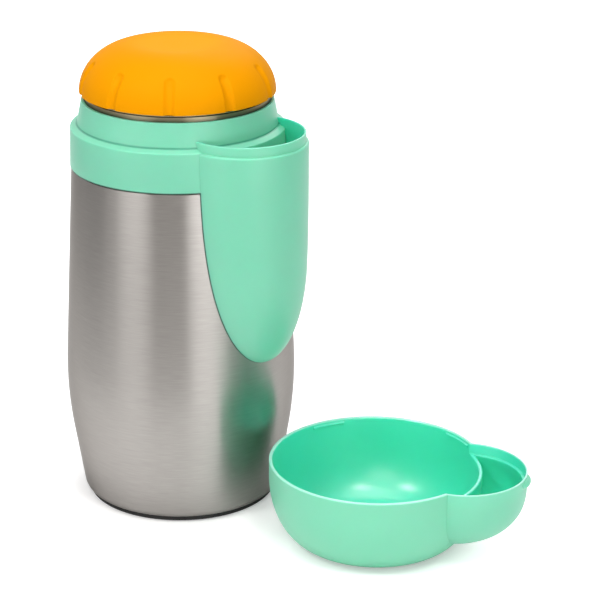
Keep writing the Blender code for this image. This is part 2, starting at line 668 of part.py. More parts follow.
def make_bowl(parts, operands):
    """The bowl cap: a round bowl and the lobe that covers the spoon pocket, with a low wall between."""
    above = BOWL_HEIGHT + LOBE_STEP
    outside = [(0, BOWL_HEIGHT), (BOWL_RADIUS, BOWL_HEIGHT)] + bowl_side(0.0, 0.0)
    bowl = turned("bowl_cap", outside, parts)

    lobe = loft("lobe_outside", lobe_levels(0.0, LOBE_LIFT) + [
        (LOBE_OFFSET, 0, BOWL_HEIGHT, LOBE_RADIUS)], operands)
    combine(bowl, as_operand(lobe), "UNION")

    tab = bmesh.new()
    shape = Matrix.Diagonal((2 * TAB_REACH, TAB_WIDTH / 2, TAB_HEIGHT / 2, 1))
    tab_z = BOWL_HEIGHT - TAB_HEIGHT / 2 - FIT_GAP
    place = Matrix.Translation((LOBE_OFFSET + LOBE_RADIUS - TAB_REACH, 0, tab_z))
    bmesh.ops.create_uvsphere(tab, u_segments=20, v_segments=10, radius=1.0, matrix=place @ shape)
    tab_mesh = bpy.data.meshes.new("thumb_tab")
    tab.to_mesh(tab_mesh)
    tab.free()
    combine(bowl, as_operand(link_object("thumb_tab", tab_mesh, operands)), "UNION")

    rim_inside = BOWL_RADIUS - BOWL_WALL
    hollow = turned("bowl_inside", [
        (0, above), (rim_inside, above)] + bowl_side(BOWL_WALL, BOWL_FLOOR), operands)
    combine(bowl, as_operand(hollow), "DIFFERENCE")

    step_z = BOWL_HEIGHT - LOBE_STEP
    lobe_hollow = loft("lobe_inside", lobe_levels(POCKET_WALL, LOBE_LIFT + BOWL_FLOOR) + [
        (LOBE_OFFSET, 0, step_z + BOWL_WALL, LOBE_RADIUS - POCKET_WALL)], operands)
    divider = turned("divider", outside, operands)
    combine(lobe_hollow, as_operand(divider), "DIFFERENCE")
    combine(bowl, as_operand(lobe_hollow), "DIFFERENCE")

    mouth_radius = LOBE_RADIUS - LOBE_WALL
    mouth = loft("lobe_mouth", [
        (LOBE_OFFSET, 0, step_z, mouth_radius), (LOBE_OFFSET, 0, above, mouth_radius)], operands)
    combine(bowl, as_operand(mouth), "DIFFERENCE")

    bead_z = BOWL_HEIGHT - SNAP_DROP
    section = [
        (rim_inside - SNAP_DEPTH, bead_z), (rim_inside + SNAP_DEPTH, bead_z + SNAP_HEIGHT / 2),
        (rim_inside + SNAP_DEPTH, bead_z - SNAP_HEIGHT / 2)]
    for name, middle in (("near_beads", SNAP_MIDDLE), ("far_beads", math.pi - SNAP_MIDDLE)):
        bead = swept_ridge(name, section, SNAP_SPAN, 0.0, SNAP_STEPS, operands)
        combine(bowl, repeated_round_axis(name, bead, 2, middle - SNAP_SPAN / 2, operands), "UNION")
    return bowl


for old_object in list(bpy.data.objects):
    bpy.data.objects.remove(old_object)

parts = make_collection("insulated_food_jar")
operands = make_collection("shaping_bodies")

brushed_steel = make_material("brushed_steel", (0.62, 0.60, 0.57), 0.32, 1.0)
drawn_steel = make_material("drawn_steel", (0.66, 0.65, 0.63), 0.25, 1.0)
foil_finish = make_material("foil", (0.80, 0.52, 0.34), 0.22, 1.0)
pad_rubber = make_material("pad_rubber", (0.03, 0.03, 0.03), 0.75)
getter_finish = make_material("getter", (0.25, 0.25, 0.26), 0.6, 1.0)
seal_solder = make_material("seal_solder", (0.55, 0.55, 0.56), 0.4, 1.0)
mint_collar = make_material("mint_collar", (0.23, 0.72, 0.50), 0.38)
mint_bowl = make_material("mint_bowl", (0.21, 0.70, 0.48), 0.30)
orange_dome = make_material("orange_dome", (1.0, 0.42, 0.0), 0.48)
orange_plug = make_material("orange_plug", (0.95, 0.40, 0.01), 0.40)
silicone = make_material("silicone", (0.82, 0.82, 0.80), 0.55)
seal_silicone = make_material("seal_silicone", (0.10, 0.10, 0.10), 0.6)
foam_white = make_material("foam_white", (0.90, 0.89, 0.86), 0.9)
disc_orange = make_material("disc_orange", (0.94, 0.39, 0.01), 0.42)

jar = bpy.data.objects.new("jar_frame", None)
stopper = bpy.data.objects.new("stopper_axis", None)
bowl_place = bpy.data.objects.new("bowl_frame", None)
for empty in (jar, stopper, bowl_place):
    parts.objects.link(empty)
bowl_distance = BODY_RADIUS + BODY_BULGE + BOWL_RADIUS + BOWL_GAP
bowl_place.location = (bowl_distance * math.cos(BOWL_AZIMUTH), bowl_distance * math.sin(BOWL_AZIMUTH), 0)
bowl_place.rotation_euler.z = LOBE_AZIMUTH

finish(make_shell(parts), brushed_steel, jar)
finish(make_liner(parts, operands), drawn_steel, jar)
finish(make_foil(parts), foil_finish, jar)
finish(make_base_plate(parts), drawn_steel, jar)
finish(make_vacuum_plug(parts), seal_solder, jar)
finish(make_getter(parts), getter_finish, jar)
finish(make_pad(parts), pad_rubber, jar)
finish(make_collar(parts, operands), mint_collar, jar)
finish(make_collar_seal(parts), seal_silicone, jar)
finish(make_dome(parts, operands), orange_dome, stopper)
finish(make_plug(parts, operands), orange_plug, stopper)
finish(make_gasket(parts), silicone, stopper)
finish(make_disc(parts), disc_orange, stopper)
finish(make_foam(parts), foam_white, stopper)
finish(make_bowl(parts, operands), mint_bowl, bowl_place)
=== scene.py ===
import math

import bmesh
import bpy
from mathutils import Matrix, Vector


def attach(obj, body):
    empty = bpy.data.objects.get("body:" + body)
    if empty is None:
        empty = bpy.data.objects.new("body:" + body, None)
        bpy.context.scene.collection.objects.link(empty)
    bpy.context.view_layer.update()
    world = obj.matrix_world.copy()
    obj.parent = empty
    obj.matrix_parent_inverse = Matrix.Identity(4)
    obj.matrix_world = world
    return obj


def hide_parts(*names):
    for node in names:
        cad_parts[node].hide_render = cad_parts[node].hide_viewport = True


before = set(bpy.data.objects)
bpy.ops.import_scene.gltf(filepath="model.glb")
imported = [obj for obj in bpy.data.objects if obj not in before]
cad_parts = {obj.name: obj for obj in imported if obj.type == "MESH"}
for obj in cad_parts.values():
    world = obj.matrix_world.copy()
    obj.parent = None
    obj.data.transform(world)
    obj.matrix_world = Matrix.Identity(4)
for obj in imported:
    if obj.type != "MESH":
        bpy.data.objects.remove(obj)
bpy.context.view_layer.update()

# Outer shell
# The jar's outer wall: one drawn stainless tube that swells a third of the way up, steps in to seat
# the collar and narrows to the neck. It is brushed round and round on a lathe and left bare. Its neck,
# under the dome's edge, has painted shade and a painted orange reflection of the dome.
MM = 0.001
FULL_TURN = 2 * math.pi
fit_gap = 0.3
steel_wall = 0.6
foot_z = 2.2
seat_z = 140.1
ledge_z = 156.3
lip_z = 169.9
neck_radius = 36.9
shelf_radius = 41.4
shelf_z = 149.9
neck_shade_from = 158.0
neck_shade_full = 166.0
lip_shade_low = 167.0
lip_shade_high = 169.2
base_opening = 38.85


def bent(first, corner, last, steps):
    """Points of the parabola that rounds a corner between two straight runs."""
    points = []
    for step in range(steps + 1):
        t = step / steps
        points.append(tuple((1 - t) ** 2 * a + 2 * t * (1 - t) * b + t * t * c
                            for a, b, c in zip(first, corner, last)))
    return points


def eased(corners, steps=6):
    """A path whose corners, where they have a third number, are rounded off over that length."""
    path = []
    for index, corner in enumerate(corners):
        if len(corner) == 2:
            path.append(corner)
            continue
        middle = Vector(corner[:2])
        before = Vector(corners[index - 1][:2]) - middle
        after = Vector(corners[(index + 1) % len(corners)][:2]) - middle
        path += bent(middle + before.normalized() * corner[2], middle,
                     middle + after.normalized() * corner[2], steps)
    return path


def offset(path, distance):
    """The path moved sideways: towards the axis where it runs down, outwards for a negative distance."""
    normals = []
    for (r0, z0), (r1, z1) in zip(path, path[1:]):
        length = math.hypot(r1 - r0, z1 - z0)
        normals.append(((z1 - z0) / length, (r0 - r1) / length))
    moved = []
    for index, (radius, height) in enumerate(path):
        before = normals[max(index - 1, 0)]
        after = normals[min(index, len(normals) - 1)]
        reach = distance / (1 + before[0] * after[0] + before[1] * after[1])
        moved.append((radius + reach * (before[0] + after[0]), height + reach * (before[1] + after[1])))
    return moved


def turned(profile, segments=240):
    """A mesh turned from (radius, height) points in millimetres, closed up unless it ends on the axis."""
    shape = bmesh.new()
    rings = []
    for radius, height in profile:
        ring = []
        for step in range(segments if radius > 0 else 1):
            angle = FULL_TURN * step / segments
            ring.append(shape.verts.new(
                (radius * math.cos(angle) * MM, radius * math.sin(angle) * MM, height * MM)))
        rings.append(ring)
    if profile[0][0] > 0:
        rings.append(rings[0])
    for upper, lower in zip(rings, rings[1:]):
        for step in range(segments):
            after = step + 1
            corners = (upper[step % len(upper)], lower[step % len(lower)],
                       lower[after % segments % len(lower)], upper[after % segments % len(upper)])
            shape.faces.new(dict.fromkeys(corners))
    bmesh.ops.recalc_face_normals(shape, faces=shape.faces)
    mesh = bpy.data.meshes.new("turned")
    shape.to_mesh(mesh)
    shape.free()
    return mesh


def add_piece(name, mesh, finish, crease=32):
    """A finished piece at the origin, smooth but for the edges that turn sharper than the crease."""
    mesh.name = name
    mesh.materials.clear()
    mesh.materials.append(finish)
    mesh.shade_smooth()
    mesh.set_sharp_from_angle(angle=math.radians(crease))
    piece = bpy.data.objects.new(name, mesh)
    bpy.context.scene.collection.objects.link(piece)
    return piece


class Value:
    """One socket in a node tree, so that maths on it is written as plain expressions."""

    def __init__(self, tree, socket=None):
        self.tree = tree
        self.socket = socket

    def made(self, kind, settings=None, inputs=None, output=0):
        """Adds a node: its settings first, then the values or links of its sockets."""
        node = self.tree.nodes.new(kind)
        for setting, value in (settings or {}).items():
            setattr(node, setting, value)
        for name, value in (inputs or {}).items():
            if isinstance(value, Value):
                value.into(node, name)
            else:
                node.inputs[name].default_value = value
        return Value(self.tree, node.outputs[output])

    def into(self, node, name):
        self.tree.links.new(self.socket, node.inputs[name])

    def maths(self, operation, *values):
        return self.made("ShaderNodeMath", {"operation": operation}, dict(enumerate(values)))

    def __add__(self, other):
        return self.maths("ADD", self, other)

    def __sub__(self, other):
        return self.maths("SUBTRACT", self, other)

    def __rsub__(self, other):
        return self.maths("SUBTRACT", other, self)

    def __mul__(self, other):
        return self.maths("MULTIPLY", self, other)

    def __truediv__(self, other):
        return self.maths("DIVIDE", self, other)

    def __rtruediv__(self, other):
        return self.maths("DIVIDE", other, self)

    __radd__ = __add__
    __rmul__ = __mul__

    def noise(self, sizes, detail=2.0, place=None):
        """Soft noise on the piece's own coordinates, its grains this long, wide and tall in millimetres."""
        place = place or self.made("ShaderNodeTexCoord", output="Object")
        scaled = self.made("ShaderNodeMapping", None, {
            "Vector": place, "Scale": tuple(1 / (size * MM) for size in sizes)})
        return self.made("ShaderNodeTexNoise", None, {"Vector": scaled, "Scale": 1.0, "Detail": detail})

    def colour(self, low, high):
        """A colour between two, by this value."""
        return self.blend((*low, 1.0), (*high, 1.0))

    def blend(self, low, high):
        """One colour turning into another, by this value."""
        return self.made("ShaderNodeMix", {"data_type": "RGBA"}, {0: self, 6: low, 7: high}, 2)

    def ramp(self, low, high, first=0.0, last=1.0):
        """Goes smoothly from the first number to the last as this value goes from low to high."""
        return self.made("ShaderNodeMapRange", {"interpolation_type": "SMOOTHSTEP"}, {
            "Value": self, "From Min": low, "From Max": high, "To Min": first, "To Max": last})

    def bump(self, depth, strength=1.0):
        """A surface normal that this value lifts by up to a depth in millimetres."""
        return self.made("ShaderNodeBump", None, {
            "Height": self, "Distance": depth * MM, "Strength": strength})


def new_finish(name, constants):
    """A material, its shader and an empty value to build on. What never varies is set on the sockets."""
    finish = bpy.data.materials.new(name)
    finish.use_nodes = True
    shader = finish.node_tree.nodes["Principled BSDF"]
    for socket, value in constants.items():
        shader.inputs[socket].default_value = value
    return finish, shader, Value(finish.node_tree)


body_top = (42.9, seat_z)
bulge = (47.4, 45.2)
foot_line = (40.05, 0.0)
bulge_blend = 17.0
foot_corner = 4.5
rise = bulge_blend / (seat_z - bulge[1])
fall = bulge_blend / bulge[1]
body_side = [body_top] + bent(
    (bulge[0] - (bulge[0] - body_top[0]) * rise, bulge[1] + bulge_blend), bulge,
    (bulge[0] - (bulge[0] - foot_line[0]) * fall, bulge[1] - bulge_blend), 24)


def body_radius(height):
    """The steel's outer radius at a height below the collar's seat."""
    points = body_side + [foot_line]
    for (upper_radius, upper_z), (lower_radius, lower_z) in zip(points, points[1:]):
        if height >= lower_z:
            return lower_radius + (upper_radius - lower_radius) * (height - lower_z) / (upper_z - lower_z)
    return foot_line[0]


shell_outside = eased([
    (neck_radius, lip_z - steel_wall - fit_gap), (neck_radius, ledge_z, 1.0),
    (shelf_radius, shelf_z, 1.0), (shelf_radius, seat_z)])
shell_outside += eased([shell_outside[-1], (*body_top, 0.3), body_side[1]])[1:-1] + body_side[1:]
foot_start = (body_radius(foot_corner), foot_corner)
shell_outside += bent(foot_start, (foot_line[0], foot_z), (base_opening, foot_z), 10)
shell_mesh = turned(shell_outside + offset(shell_outside, steel_wall)[::-1], 320)

brushed_steel, shader, start = new_finish("brushed_steel", {
    "Metallic": 1.0, "Anisotropic": 0.84, "Anisotropic Rotation": 0.25,
    "Specular Tint": (0.55, 0.54, 0.53, 1.0)})
place = start.made("ShaderNodeTexCoord", output="Object")
x, y, z = (start.made("ShaderNodeSeparateXYZ", None, {"Vector": place}, axis) for axis in "XYZ")
unrolled = start.made("ShaderNodeCombineXYZ", None, {
    "X": start.maths("ARCTAN2", x, 0.0 - y) * body_top[0] * MM, "Z": z})
hairlines = start.noise((7.0, 1.0, 0.42), 2.0, unrolled)
strokes = start.noise((24.0, 1.0, 0.8), 2.0, unrolled)
handling = start.noise((26.0, 26.0, 34.0))
brushing = hairlines * 0.55 + strokes * 0.25 + handling * 0.2
brushed = brushing.colour((0.285, 0.269, 0.255), (0.455, 0.434, 0.415))
# Painted shade and a painted orange reflection of the dome: near the neck the steel turns dark, then lighter
# and warmer towards the lip.
neck_shade_and_reflection = z.ramp(lip_shade_low * MM, lip_shade_high * MM).colour((0.17, 0.152, 0.11), (0.37, 0.315, 0.20))
z.ramp(neck_shade_from * MM, neck_shade_full * MM).blend(brushed, neck_shade_and_reflection).into(shader, "Base Color")
(0.28 + hairlines * 0.03 + handling * 0.03).into(shader, "Roughness")

outer_wall = add_piece("outer_wall", shell_mesh, brushed_steel)
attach(outer_wall, "flask")
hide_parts("outer_shell")

# Food cup
# The inner wall that holds the food: a drawn stainless cup with a screw thread rolled into its neck, a
# conical seat for the stopper's gasket and a lip folded over the outer wall, welded round the edge.
mouth_radius = 34.9
seat_radius = 32.0
cup_radius = 37.0
cup_floor_z = 9.5
cup_corner = 8.0
gasket_seat_z = 146.0
thread_z = 154.0
thread_lead = 16.0
thread_span = math.radians(117)
thread_starts = 4
neck_crest = 33.5


def ridge_tree():
    """Node tree for ridges that follow a wall round the axis and climb as they go, such as a thread."""
    tree = bpy.data.node_groups.new("ridges", "GeometryNodeTree")
    tree.interface.new_socket("Geometry", in_out="OUTPUT", socket_type="NodeSocketGeometry")
    tree.interface.new_socket("Material", in_out="INPUT", socket_type="NodeSocketMaterial")
    tree.interface.new_socket("Count", in_out="INPUT", socket_type="NodeSocketInt")
    sizes = (
        "Root", "Crest", "Height", "Climb", "Span", "Phase", "Root Width", "Crest Width", "Sink", "Round")
    for size in sizes:
        tree.interface.new_socket(size, in_out="INPUT", socket_type="NodeSocketFloat")
    given = tree.nodes.new("NodeGroupInput")
    material, count, root, crest, height, climb, span, phase, root_width, crest_width, sink, easing = (
        Value(tree, socket) for socket in list(given.outputs)[:-1])

    start = Value(tree)
    line = start.made("GeometryNodeCurvePrimitiveLine")
    run = start.made("GeometryNodeResampleCurve", None, {"Curve": line, "Count": 72})
    along = start.made("GeometryNodeSplineParameter", output="Factor")
    turn = along * span
    path = start.made("GeometryNodeSetPosition", None, {"Geometry": run, "Position": start.made(
        "ShaderNodeCombineXYZ", None, {
            "X": root * start.maths("COSINE", turn), "Y": root * start.maths("SINE", turn),
            "Z": height + climb * along})})
    path = start.made("GeometryNodeSetCurveNormal", {"mode": "Z_UP"}, {"Curve": path})
    ends = start.maths("MINIMUM", start.maths("SQRT", start.maths("MINIMUM", along, 1 - along) * 14), 1.0)
    path = start.made("GeometryNodeSetCurveRadius", None, {"Curve": path, "Radius": ends + 0.02})

    inward = start.maths("SIGN", root - crest)
    corners = {}
    for number, (across, width, side) in enumerate((
            (inward * sink, root_width, -1), (inward * sink, root_width, 1),
            (crest - root, crest_width, 1), (crest - root, crest_width, -1)), 1):
        place = {"X": across, "Y": width * side}
        corners[f"Point {number}"] = start.made("ShaderNodeCombineXYZ", None, place)
    section = start.made("GeometryNodeCurvePrimitiveQuadrilateral", {"mode": "POINTS"}, corners)
    section = start.made("GeometryNodeFilletCurve", {"mode": "POLY"}, {
        "Curve": section, "Count": 3, "Radius": easing, "Limit Radius": True})
    ridge = start.made("GeometryNodeCurveToMesh", None, {
        "Curve": path, "Profile Curve": section, "Fill Caps": True})

    places = start.made("GeometryNodePoints", None, {"Count": count})
    turns = start.made("FunctionNodeAxisAngleToRotation", None, {
        "Axis": (0.0, 0.0, 1.0), "Angle": phase + start.made("GeometryNodeInputIndex") * FULL_TURN / count})
    copies = start.made("GeometryNodeInstanceOnPoints", None, {
        "Points": places, "Instance": ridge, "Rotation": turns})
    plain = start.made("GeometryNodeRealizeInstances", None, {"Geometry": copies})
    coated = start.made("GeometryNodeSetMaterial", None, {"Geometry": plain, "Material": material})
    coated.into(tree.nodes.new("NodeGroupOutput"), "Geometry")
    return tree


def grown(mesh, tree, sizes):
    """The mesh as a node tree makes it with these sizes, as a plain mesh with its faces outwards."""
    piece = bpy.data.objects.new("growing", mesh)
    bpy.context.scene.collection.objects.link(piece)
    modifier = piece.modifiers.new("grow", "NODES")
    modifier.node_group = tree
    for socket in tree.interface.items_tree:
        if socket.in_out == "INPUT" and socket.name in sizes:
            modifier[socket.identifier] = sizes[socket.name]
    result = bpy.data.meshes.new_from_object(piece.evaluated_get(bpy.context.evaluated_depsgraph_get()))
    piece.modifiers.remove(modifier)
    bpy.data.objects.remove(piece)
    bpy.data.meshes.remove(mesh)
    shape = bmesh.new()
    shape.from_mesh(result)
    bmesh.ops.recalc_face_normals(shape, faces=shape.faces)
    shape.to_mesh(result)
    shape.free()
    return result


def shaped(mesh, *steps):
    """The mesh after each body in turn is joined to it or cut from it. The bodies are used up."""
    piece = bpy.data.objects.new("shaping", mesh)
    bodies = []
    for operation, body in steps:
        bodies.append(bpy.data.objects.new("body", body))
        modifier = piece.modifiers.new(operation, "BOOLEAN")
        modifier.operation = operation
        modifier.solver = "EXACT"
        modifier.object = bodies[-1]
    for item in [piece] + bodies:
        bpy.context.scene.collection.objects.link(item)
    result = bpy.data.meshes.new_from_object(piece.evaluated_get(bpy.context.evaluated_depsgraph_get()))
    for item in [piece] + bodies:
        used = item.data
        bpy.data.objects.remove(item)
        bpy.data.meshes.remove(used)
    shape = bmesh.new()
    shape.from_mesh(result)
    bmesh.ops.remove_doubles(shape, verts=shape.verts, dist=0.002 * MM)
    bmesh.ops.dissolve_degenerate(shape, edges=shape.edges, dist=0.001 * MM)
    shape.to_mesh(result)
    shape.free()
    return result


drawn_steel, shader, start = new_finish("drawn_steel", {"Metallic": 1.0, "Anisotropic": 0.4})
drawing = start.noise((60.0, 60.0, 1.4), 3.0)
haze = start.noise((9.0, 9.0, 14.0))
place = start.made("ShaderNodeTexCoord", output="Object")
z = start.made("ShaderNodeSeparateXYZ", None, {"Vector": place}, "Z")
drawn = (drawing * 0.6 + haze * 0.4).colour((0.52, 0.505, 0.485), (0.66, 0.645, 0.625))
# Painted shade and a painted orange reflection of the dome: the lip turns a warm brown at its top.
z.ramp(neck_shade_full * MM, lip_shade_high * MM).blend(drawn, (0.42, 0.35, 0.21, 1.0)).into(shader, "Base Color")
(0.16 + drawing * 0.08 + haze * 0.06).into(shader, "Roughness")
drawing.bump(0.003, 0.3).into(shader, "Normal")

cup_inside = [(mouth_radius, lip_z), (mouth_radius, gasket_seat_z + 2.9), (seat_radius, gasket_seat_z),
              (seat_radius, gasket_seat_z - 1.5), (cup_radius, gasket_seat_z - 8.5)]
for step in range(13):
    angle = FULL_TURN / 4 * step / 12
    cup_inside.append((cup_radius - cup_corner * (1 - math.cos(angle)),
                       cup_floor_z + cup_corner * (1 - math.sin(angle))))
cup_inside.append((0, cup_floor_z))
cup_outside = offset(cup_inside, -steel_wall)
under_lip = lip_z - steel_wall
lip = eased([
    cup_inside[1], (mouth_radius, lip_z, 0.3), (neck_radius, lip_z, 0.25), (neck_radius, under_lip, 0.25),
    (mouth_radius + steel_wall, under_lip), cup_outside[1]])[1:-1]
thread_form = {
    "Count": thread_starts, "Climb": thread_lead * thread_span / FULL_TURN * MM, "Span": thread_span,
    "Phase": 0.0, "Root Width": 0.92 * MM, "Crest Width": 0.4 * MM, "Sink": 0.25 * MM, "Round": 0.2 * MM}
neck_thread = grown(bpy.data.meshes.new("thread"), ridge_tree(), {
    **thread_form, "Material": drawn_steel, "Root": mouth_radius * MM, "Crest": neck_crest * MM,
    "Height": thread_z * MM})
cup_mesh = shaped(turned(cup_inside[:0:-1] + lip + cup_outside[1:]), ("UNION", neck_thread))

food_cup = add_piece("food_cup", cup_mesh, drawn_steel)
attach(food_cup, "flask")
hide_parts("inner_liner")

# Heat foil
# A sleeve of thin copper foil wrapped round the food cup inside the vacuum space, where it turns heat
# back. It is hand-wrapped, so it is finely creased.
foil_outer = 38.15
foil_inner = 37.9
foil_top = 134.5
foil_foot = 20.5
foil_mesh = turned(eased([
    (foil_outer, foil_top, 0.1), (foil_outer, foil_foot, 0.1), (foil_inner, foil_foot, 0.1),
    (foil_inner, foil_top, 0.1)], 2))
copper_foil, shader, start = new_finish("copper_foil", {"Metallic": 1.0})
creases = start.noise((3.0, 3.0, 9.0), 4.0)
tarnish = start.noise((20.0, 20.0, 30.0))
tarnish.colour((0.72, 0.42, 0.27), (0.84, 0.56, 0.38)).into(shader, "Base Color")
(0.16 + creases * 0.14).into(shader, "Roughness")
creases.bump(0.15).into(shader, "Normal")

heat_foil = add_piece("heat_foil", foil_mesh, copper_foil)
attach(heat_foil, "flask")
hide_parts("liner_foil")

# Base plate with its getter and pump-out seal
# A pressed stainless plate welded into the outer wall's foot. The sintered getter pill on it soaks up
# stray gas, and a drop of solder closes the hole that the air was pumped out through.
plate_z = 6.0
plate_rim = base_opening - fit_gap
plate_bore = plate_rim - steel_wall
plate_top = plate_z + steel_wall
pump_hole = 1.5
plate_mesh = turned(eased([
    (pump_hole, plate_top, 0.1), (plate_rim, plate_top, 0.5), (plate_rim, foot_z, 0.15),
    (plate_bore, foot_z, 0.15), (plate_bore, plate_z, 0.3), (pump_hole, plate_z, 0.1)]))
base_plate = add_piece("base_plate_pressing", plate_mesh, drawn_steel)
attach(base_plate, "flask")
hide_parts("base_plate")

getter_radius = 6.0
getter_dish = 3.6
getter_offset = 15.0
getter_low = plate_top + fit_gap
getter_high = getter_low + 1.2
getter_mesh = turned(eased([
    (0, getter_high - 0.2), (getter_dish, getter_high - 0.2), (getter_dish + 0.6, getter_high),
    (getter_radius, getter_high, 0.3), (getter_radius, getter_low, 0.2), (0, getter_low)]), 96)
getter_mesh.transform(Matrix.Translation((getter_offset * MM, 0, 0)))
sintered, shader, start = new_finish("sintered_powder", {"Metallic": 0.8})
grit = start.noise((0.25, 0.25, 0.25), 3.0)
grit.colour((0.13, 0.13, 0.135), (0.30, 0.30, 0.31)).into(shader, "Base Color")
(0.5 + grit * 0.3).into(shader, "Roughness")
grit.bump(0.06).into(shader, "Normal")
getter = add_piece("getter_pill", getter_mesh, sintered)
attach(getter, "flask")
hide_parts("getter_disc")

seal_head = pump_hole + 2.0
seal_top = plate_z - fit_gap
seal_low = seal_top - 0.7
shank = pump_hole - fit_gap
seal_mesh = turned(eased([
    (0, plate_top), (shank, plate_top, 0.3), (shank, seal_top), (seal_head, seal_top, 0.2),
    (seal_head, seal_low, 0.35), (0, seal_low)]), 96)
solder, shader, start = new_finish("solder", {"Metallic": 1.0})
ripples = start.noise((0.8, 0.8, 0.5), 2.0)
ripples.colour((0.48, 0.48, 0.49), (0.62, 0.62, 0.62)).into(shader, "Base Color")
(0.26 + ripples * 0.2).into(shader, "Roughness")
ripples.bump(0.08).into(shader, "Normal")
pump_seal = add_piece("pump_seal", seal_mesh, solder)
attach(pump_seal, "flask")
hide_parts("vacuum_plug")

# Foot pad
# A dark rubber pad pressed into the base plate's recess, so that the jar stands without slipping. Its
# brim shows as a thin dark line under the steel.
pad_boss = plate_bore - fit_gap
pad_hollow = seal_head + fit_gap
pad_groove_outer = 30.5
pad_groove_inner = 28.5
pad_groove_depth = 0.4
pad_mesh = turned(eased([
    (0, seal_low - fit_gap), (pad_hollow, seal_low - fit_gap), (pad_hollow, plate_z - fit_gap, 0.2),
    (pad_boss, plate_z - fit_gap, 0.4), (pad_boss, foot_z - fit_gap), (plate_rim, foot_z - fit_gap, 0.2),
    (plate_rim, 0.3, 0.25), (plate_rim - 0.6, 0.0, 0.3),
    (pad_groove_outer, 0.0, 0.2), (pad_groove_outer - pad_groove_depth, pad_groove_depth),
    (pad_groove_inner + pad_groove_depth, pad_groove_depth), (pad_groove_inner, 0.0, 0.2), (0, 0.0)]))
rubber, shader, start = new_finish("foot_rubber", {"Specular IOR Level": 0.3})
pores = start.noise((0.3, 0.3, 0.3), 3.0)
scuffs = start.noise((7.0, 7.0, 7.0), 3.0)
(pores * 0.4 + scuffs * 0.6).colour((0.012, 0.012, 0.013), (0.035, 0.034, 0.034)).into(shader, "Base Color")
(0.62 + pores * 0.2).into(shader, "Roughness")
pores.bump(0.05).into(shader, "Normal")
foot_pad = add_piece("foot_pad", pad_mesh, rubber)
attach(foot_pad, "flask")
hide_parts("base_pad")

# Collar with the spoon pocket
# One moulding in mint plastic: a ring that snaps on the outer wall's seat, a sloping ledge for the cap, a
# tapered ring round the neck, and the pocket that hangs down the front. Its outside has a fine satin grain.
collar_z = seat_z + fit_gap
collar_radius = 43.3
collar_bore = 41.7
ledge_radius = 42.95
cone_top_z = 167.2
cone_top_radius = 38.3
cone_bore = neck_radius + fit_gap
cone_foot = (40.2, 157.6)
ring_seal_bore = cone_bore + 1.2
ring_seal_top = 160.2
pocket_azimuth = math.radians(-39)
pocket_offset = 35.4
pocket_radius = 25.2
pocket_wall = 2.0
pocket_back_wall = 1.2
pocket_lip_radius = 24.1
pocket_lip_z = ledge_z + 3.9
pocket_tip_z = 66.5
pocket_curve = 40.0
pocket_sink = 1.6
pocket_squareness = 2.45
pocket_mouth = pocket_radius - pocket_wall
core_neck = 39.3
core_neck_z = 155.4
core_ring = 42.25
seam_inner = 0.4
seam_outer = 0.95
crease_inner = 0.2
crease_outer = 0.75


def lofted(levels, segments=200):
    """A closed mesh through level circles, each (centre x, centre y, height, radius), lowest first."""
    shape = bmesh.new()
    rings = []
    for x, y, height, radius in levels:
        ring = []
        for step in range(segments):
            angle = FULL_TURN * step / segments
            ring.append(shape.verts.new((
                (x + radius * math.cos(angle)) * MM, (y + radius * math.sin(angle)) * MM, height * MM)))
        rings.append(ring)
    for lower, upper in zip(rings, rings[1:]):
        for step in range(segments):
            after = (step + 1) % segments
            shape.faces.new((lower[step], lower[after], upper[after], upper[step]))
    shape.faces.new(rings[0][::-1])
    shape.faces.new(rings[-1])
    mesh = bpy.data.meshes.new("lofted")
    shape.to_mesh(mesh)
    shape.free()
    return mesh


def pocket_place(distance):
    return distance * math.cos(pocket_azimuth), distance * math.sin(pocket_azimuth)


def pocket_levels(wall, count=64):
    """Level circles of the pocket below the collar's seat, a wall's thickness inside its outer face."""
    tip = pocket_tip_z + wall
    curve_top = pocket_tip_z + pocket_curve
    nose = pocket_offset + pocket_radius - wall
    sunk = body_radius(pocket_tip_z) - pocket_sink
    levels = []
    for level in range(1, count + 1):
        share = math.cos(FULL_TURN / 4 * level / count)
        height = seat_z - (seat_z - tip) * share
        radius = (pocket_radius - wall) * (1 - share ** pocket_squareness) ** (1 / pocket_squareness)
        reach = nose
        if height < curve_top:
            drop = (curve_top - height) / (curve_top - tip)
            reach = sunk + (nose - sunk) * math.sqrt(1 - drop * drop)
        levels.append((*pocket_place(reach - radius), height, radius))
    return levels


def pocket_circles(path):
    return [(*pocket_place(pocket_offset), height, radius) for radius, height in path]


collar_side = eased([
    (cone_bore, cone_top_z), (cone_top_radius, cone_top_z, 0.35), cone_foot, (ledge_radius, ledge_z, 0.4),
    (collar_radius, collar_z, 0.3), (collar_bore, collar_z)])[1:-1]
ring_mesh = turned(collar_side + eased([
    (collar_bore, collar_z), (collar_bore, shelf_z), (ring_seal_bore, ledge_z - fit_gap),
    (ring_seal_bore, ring_seal_top), (cone_bore, ring_seal_top), (cone_bore, cone_top_z)]), 288)

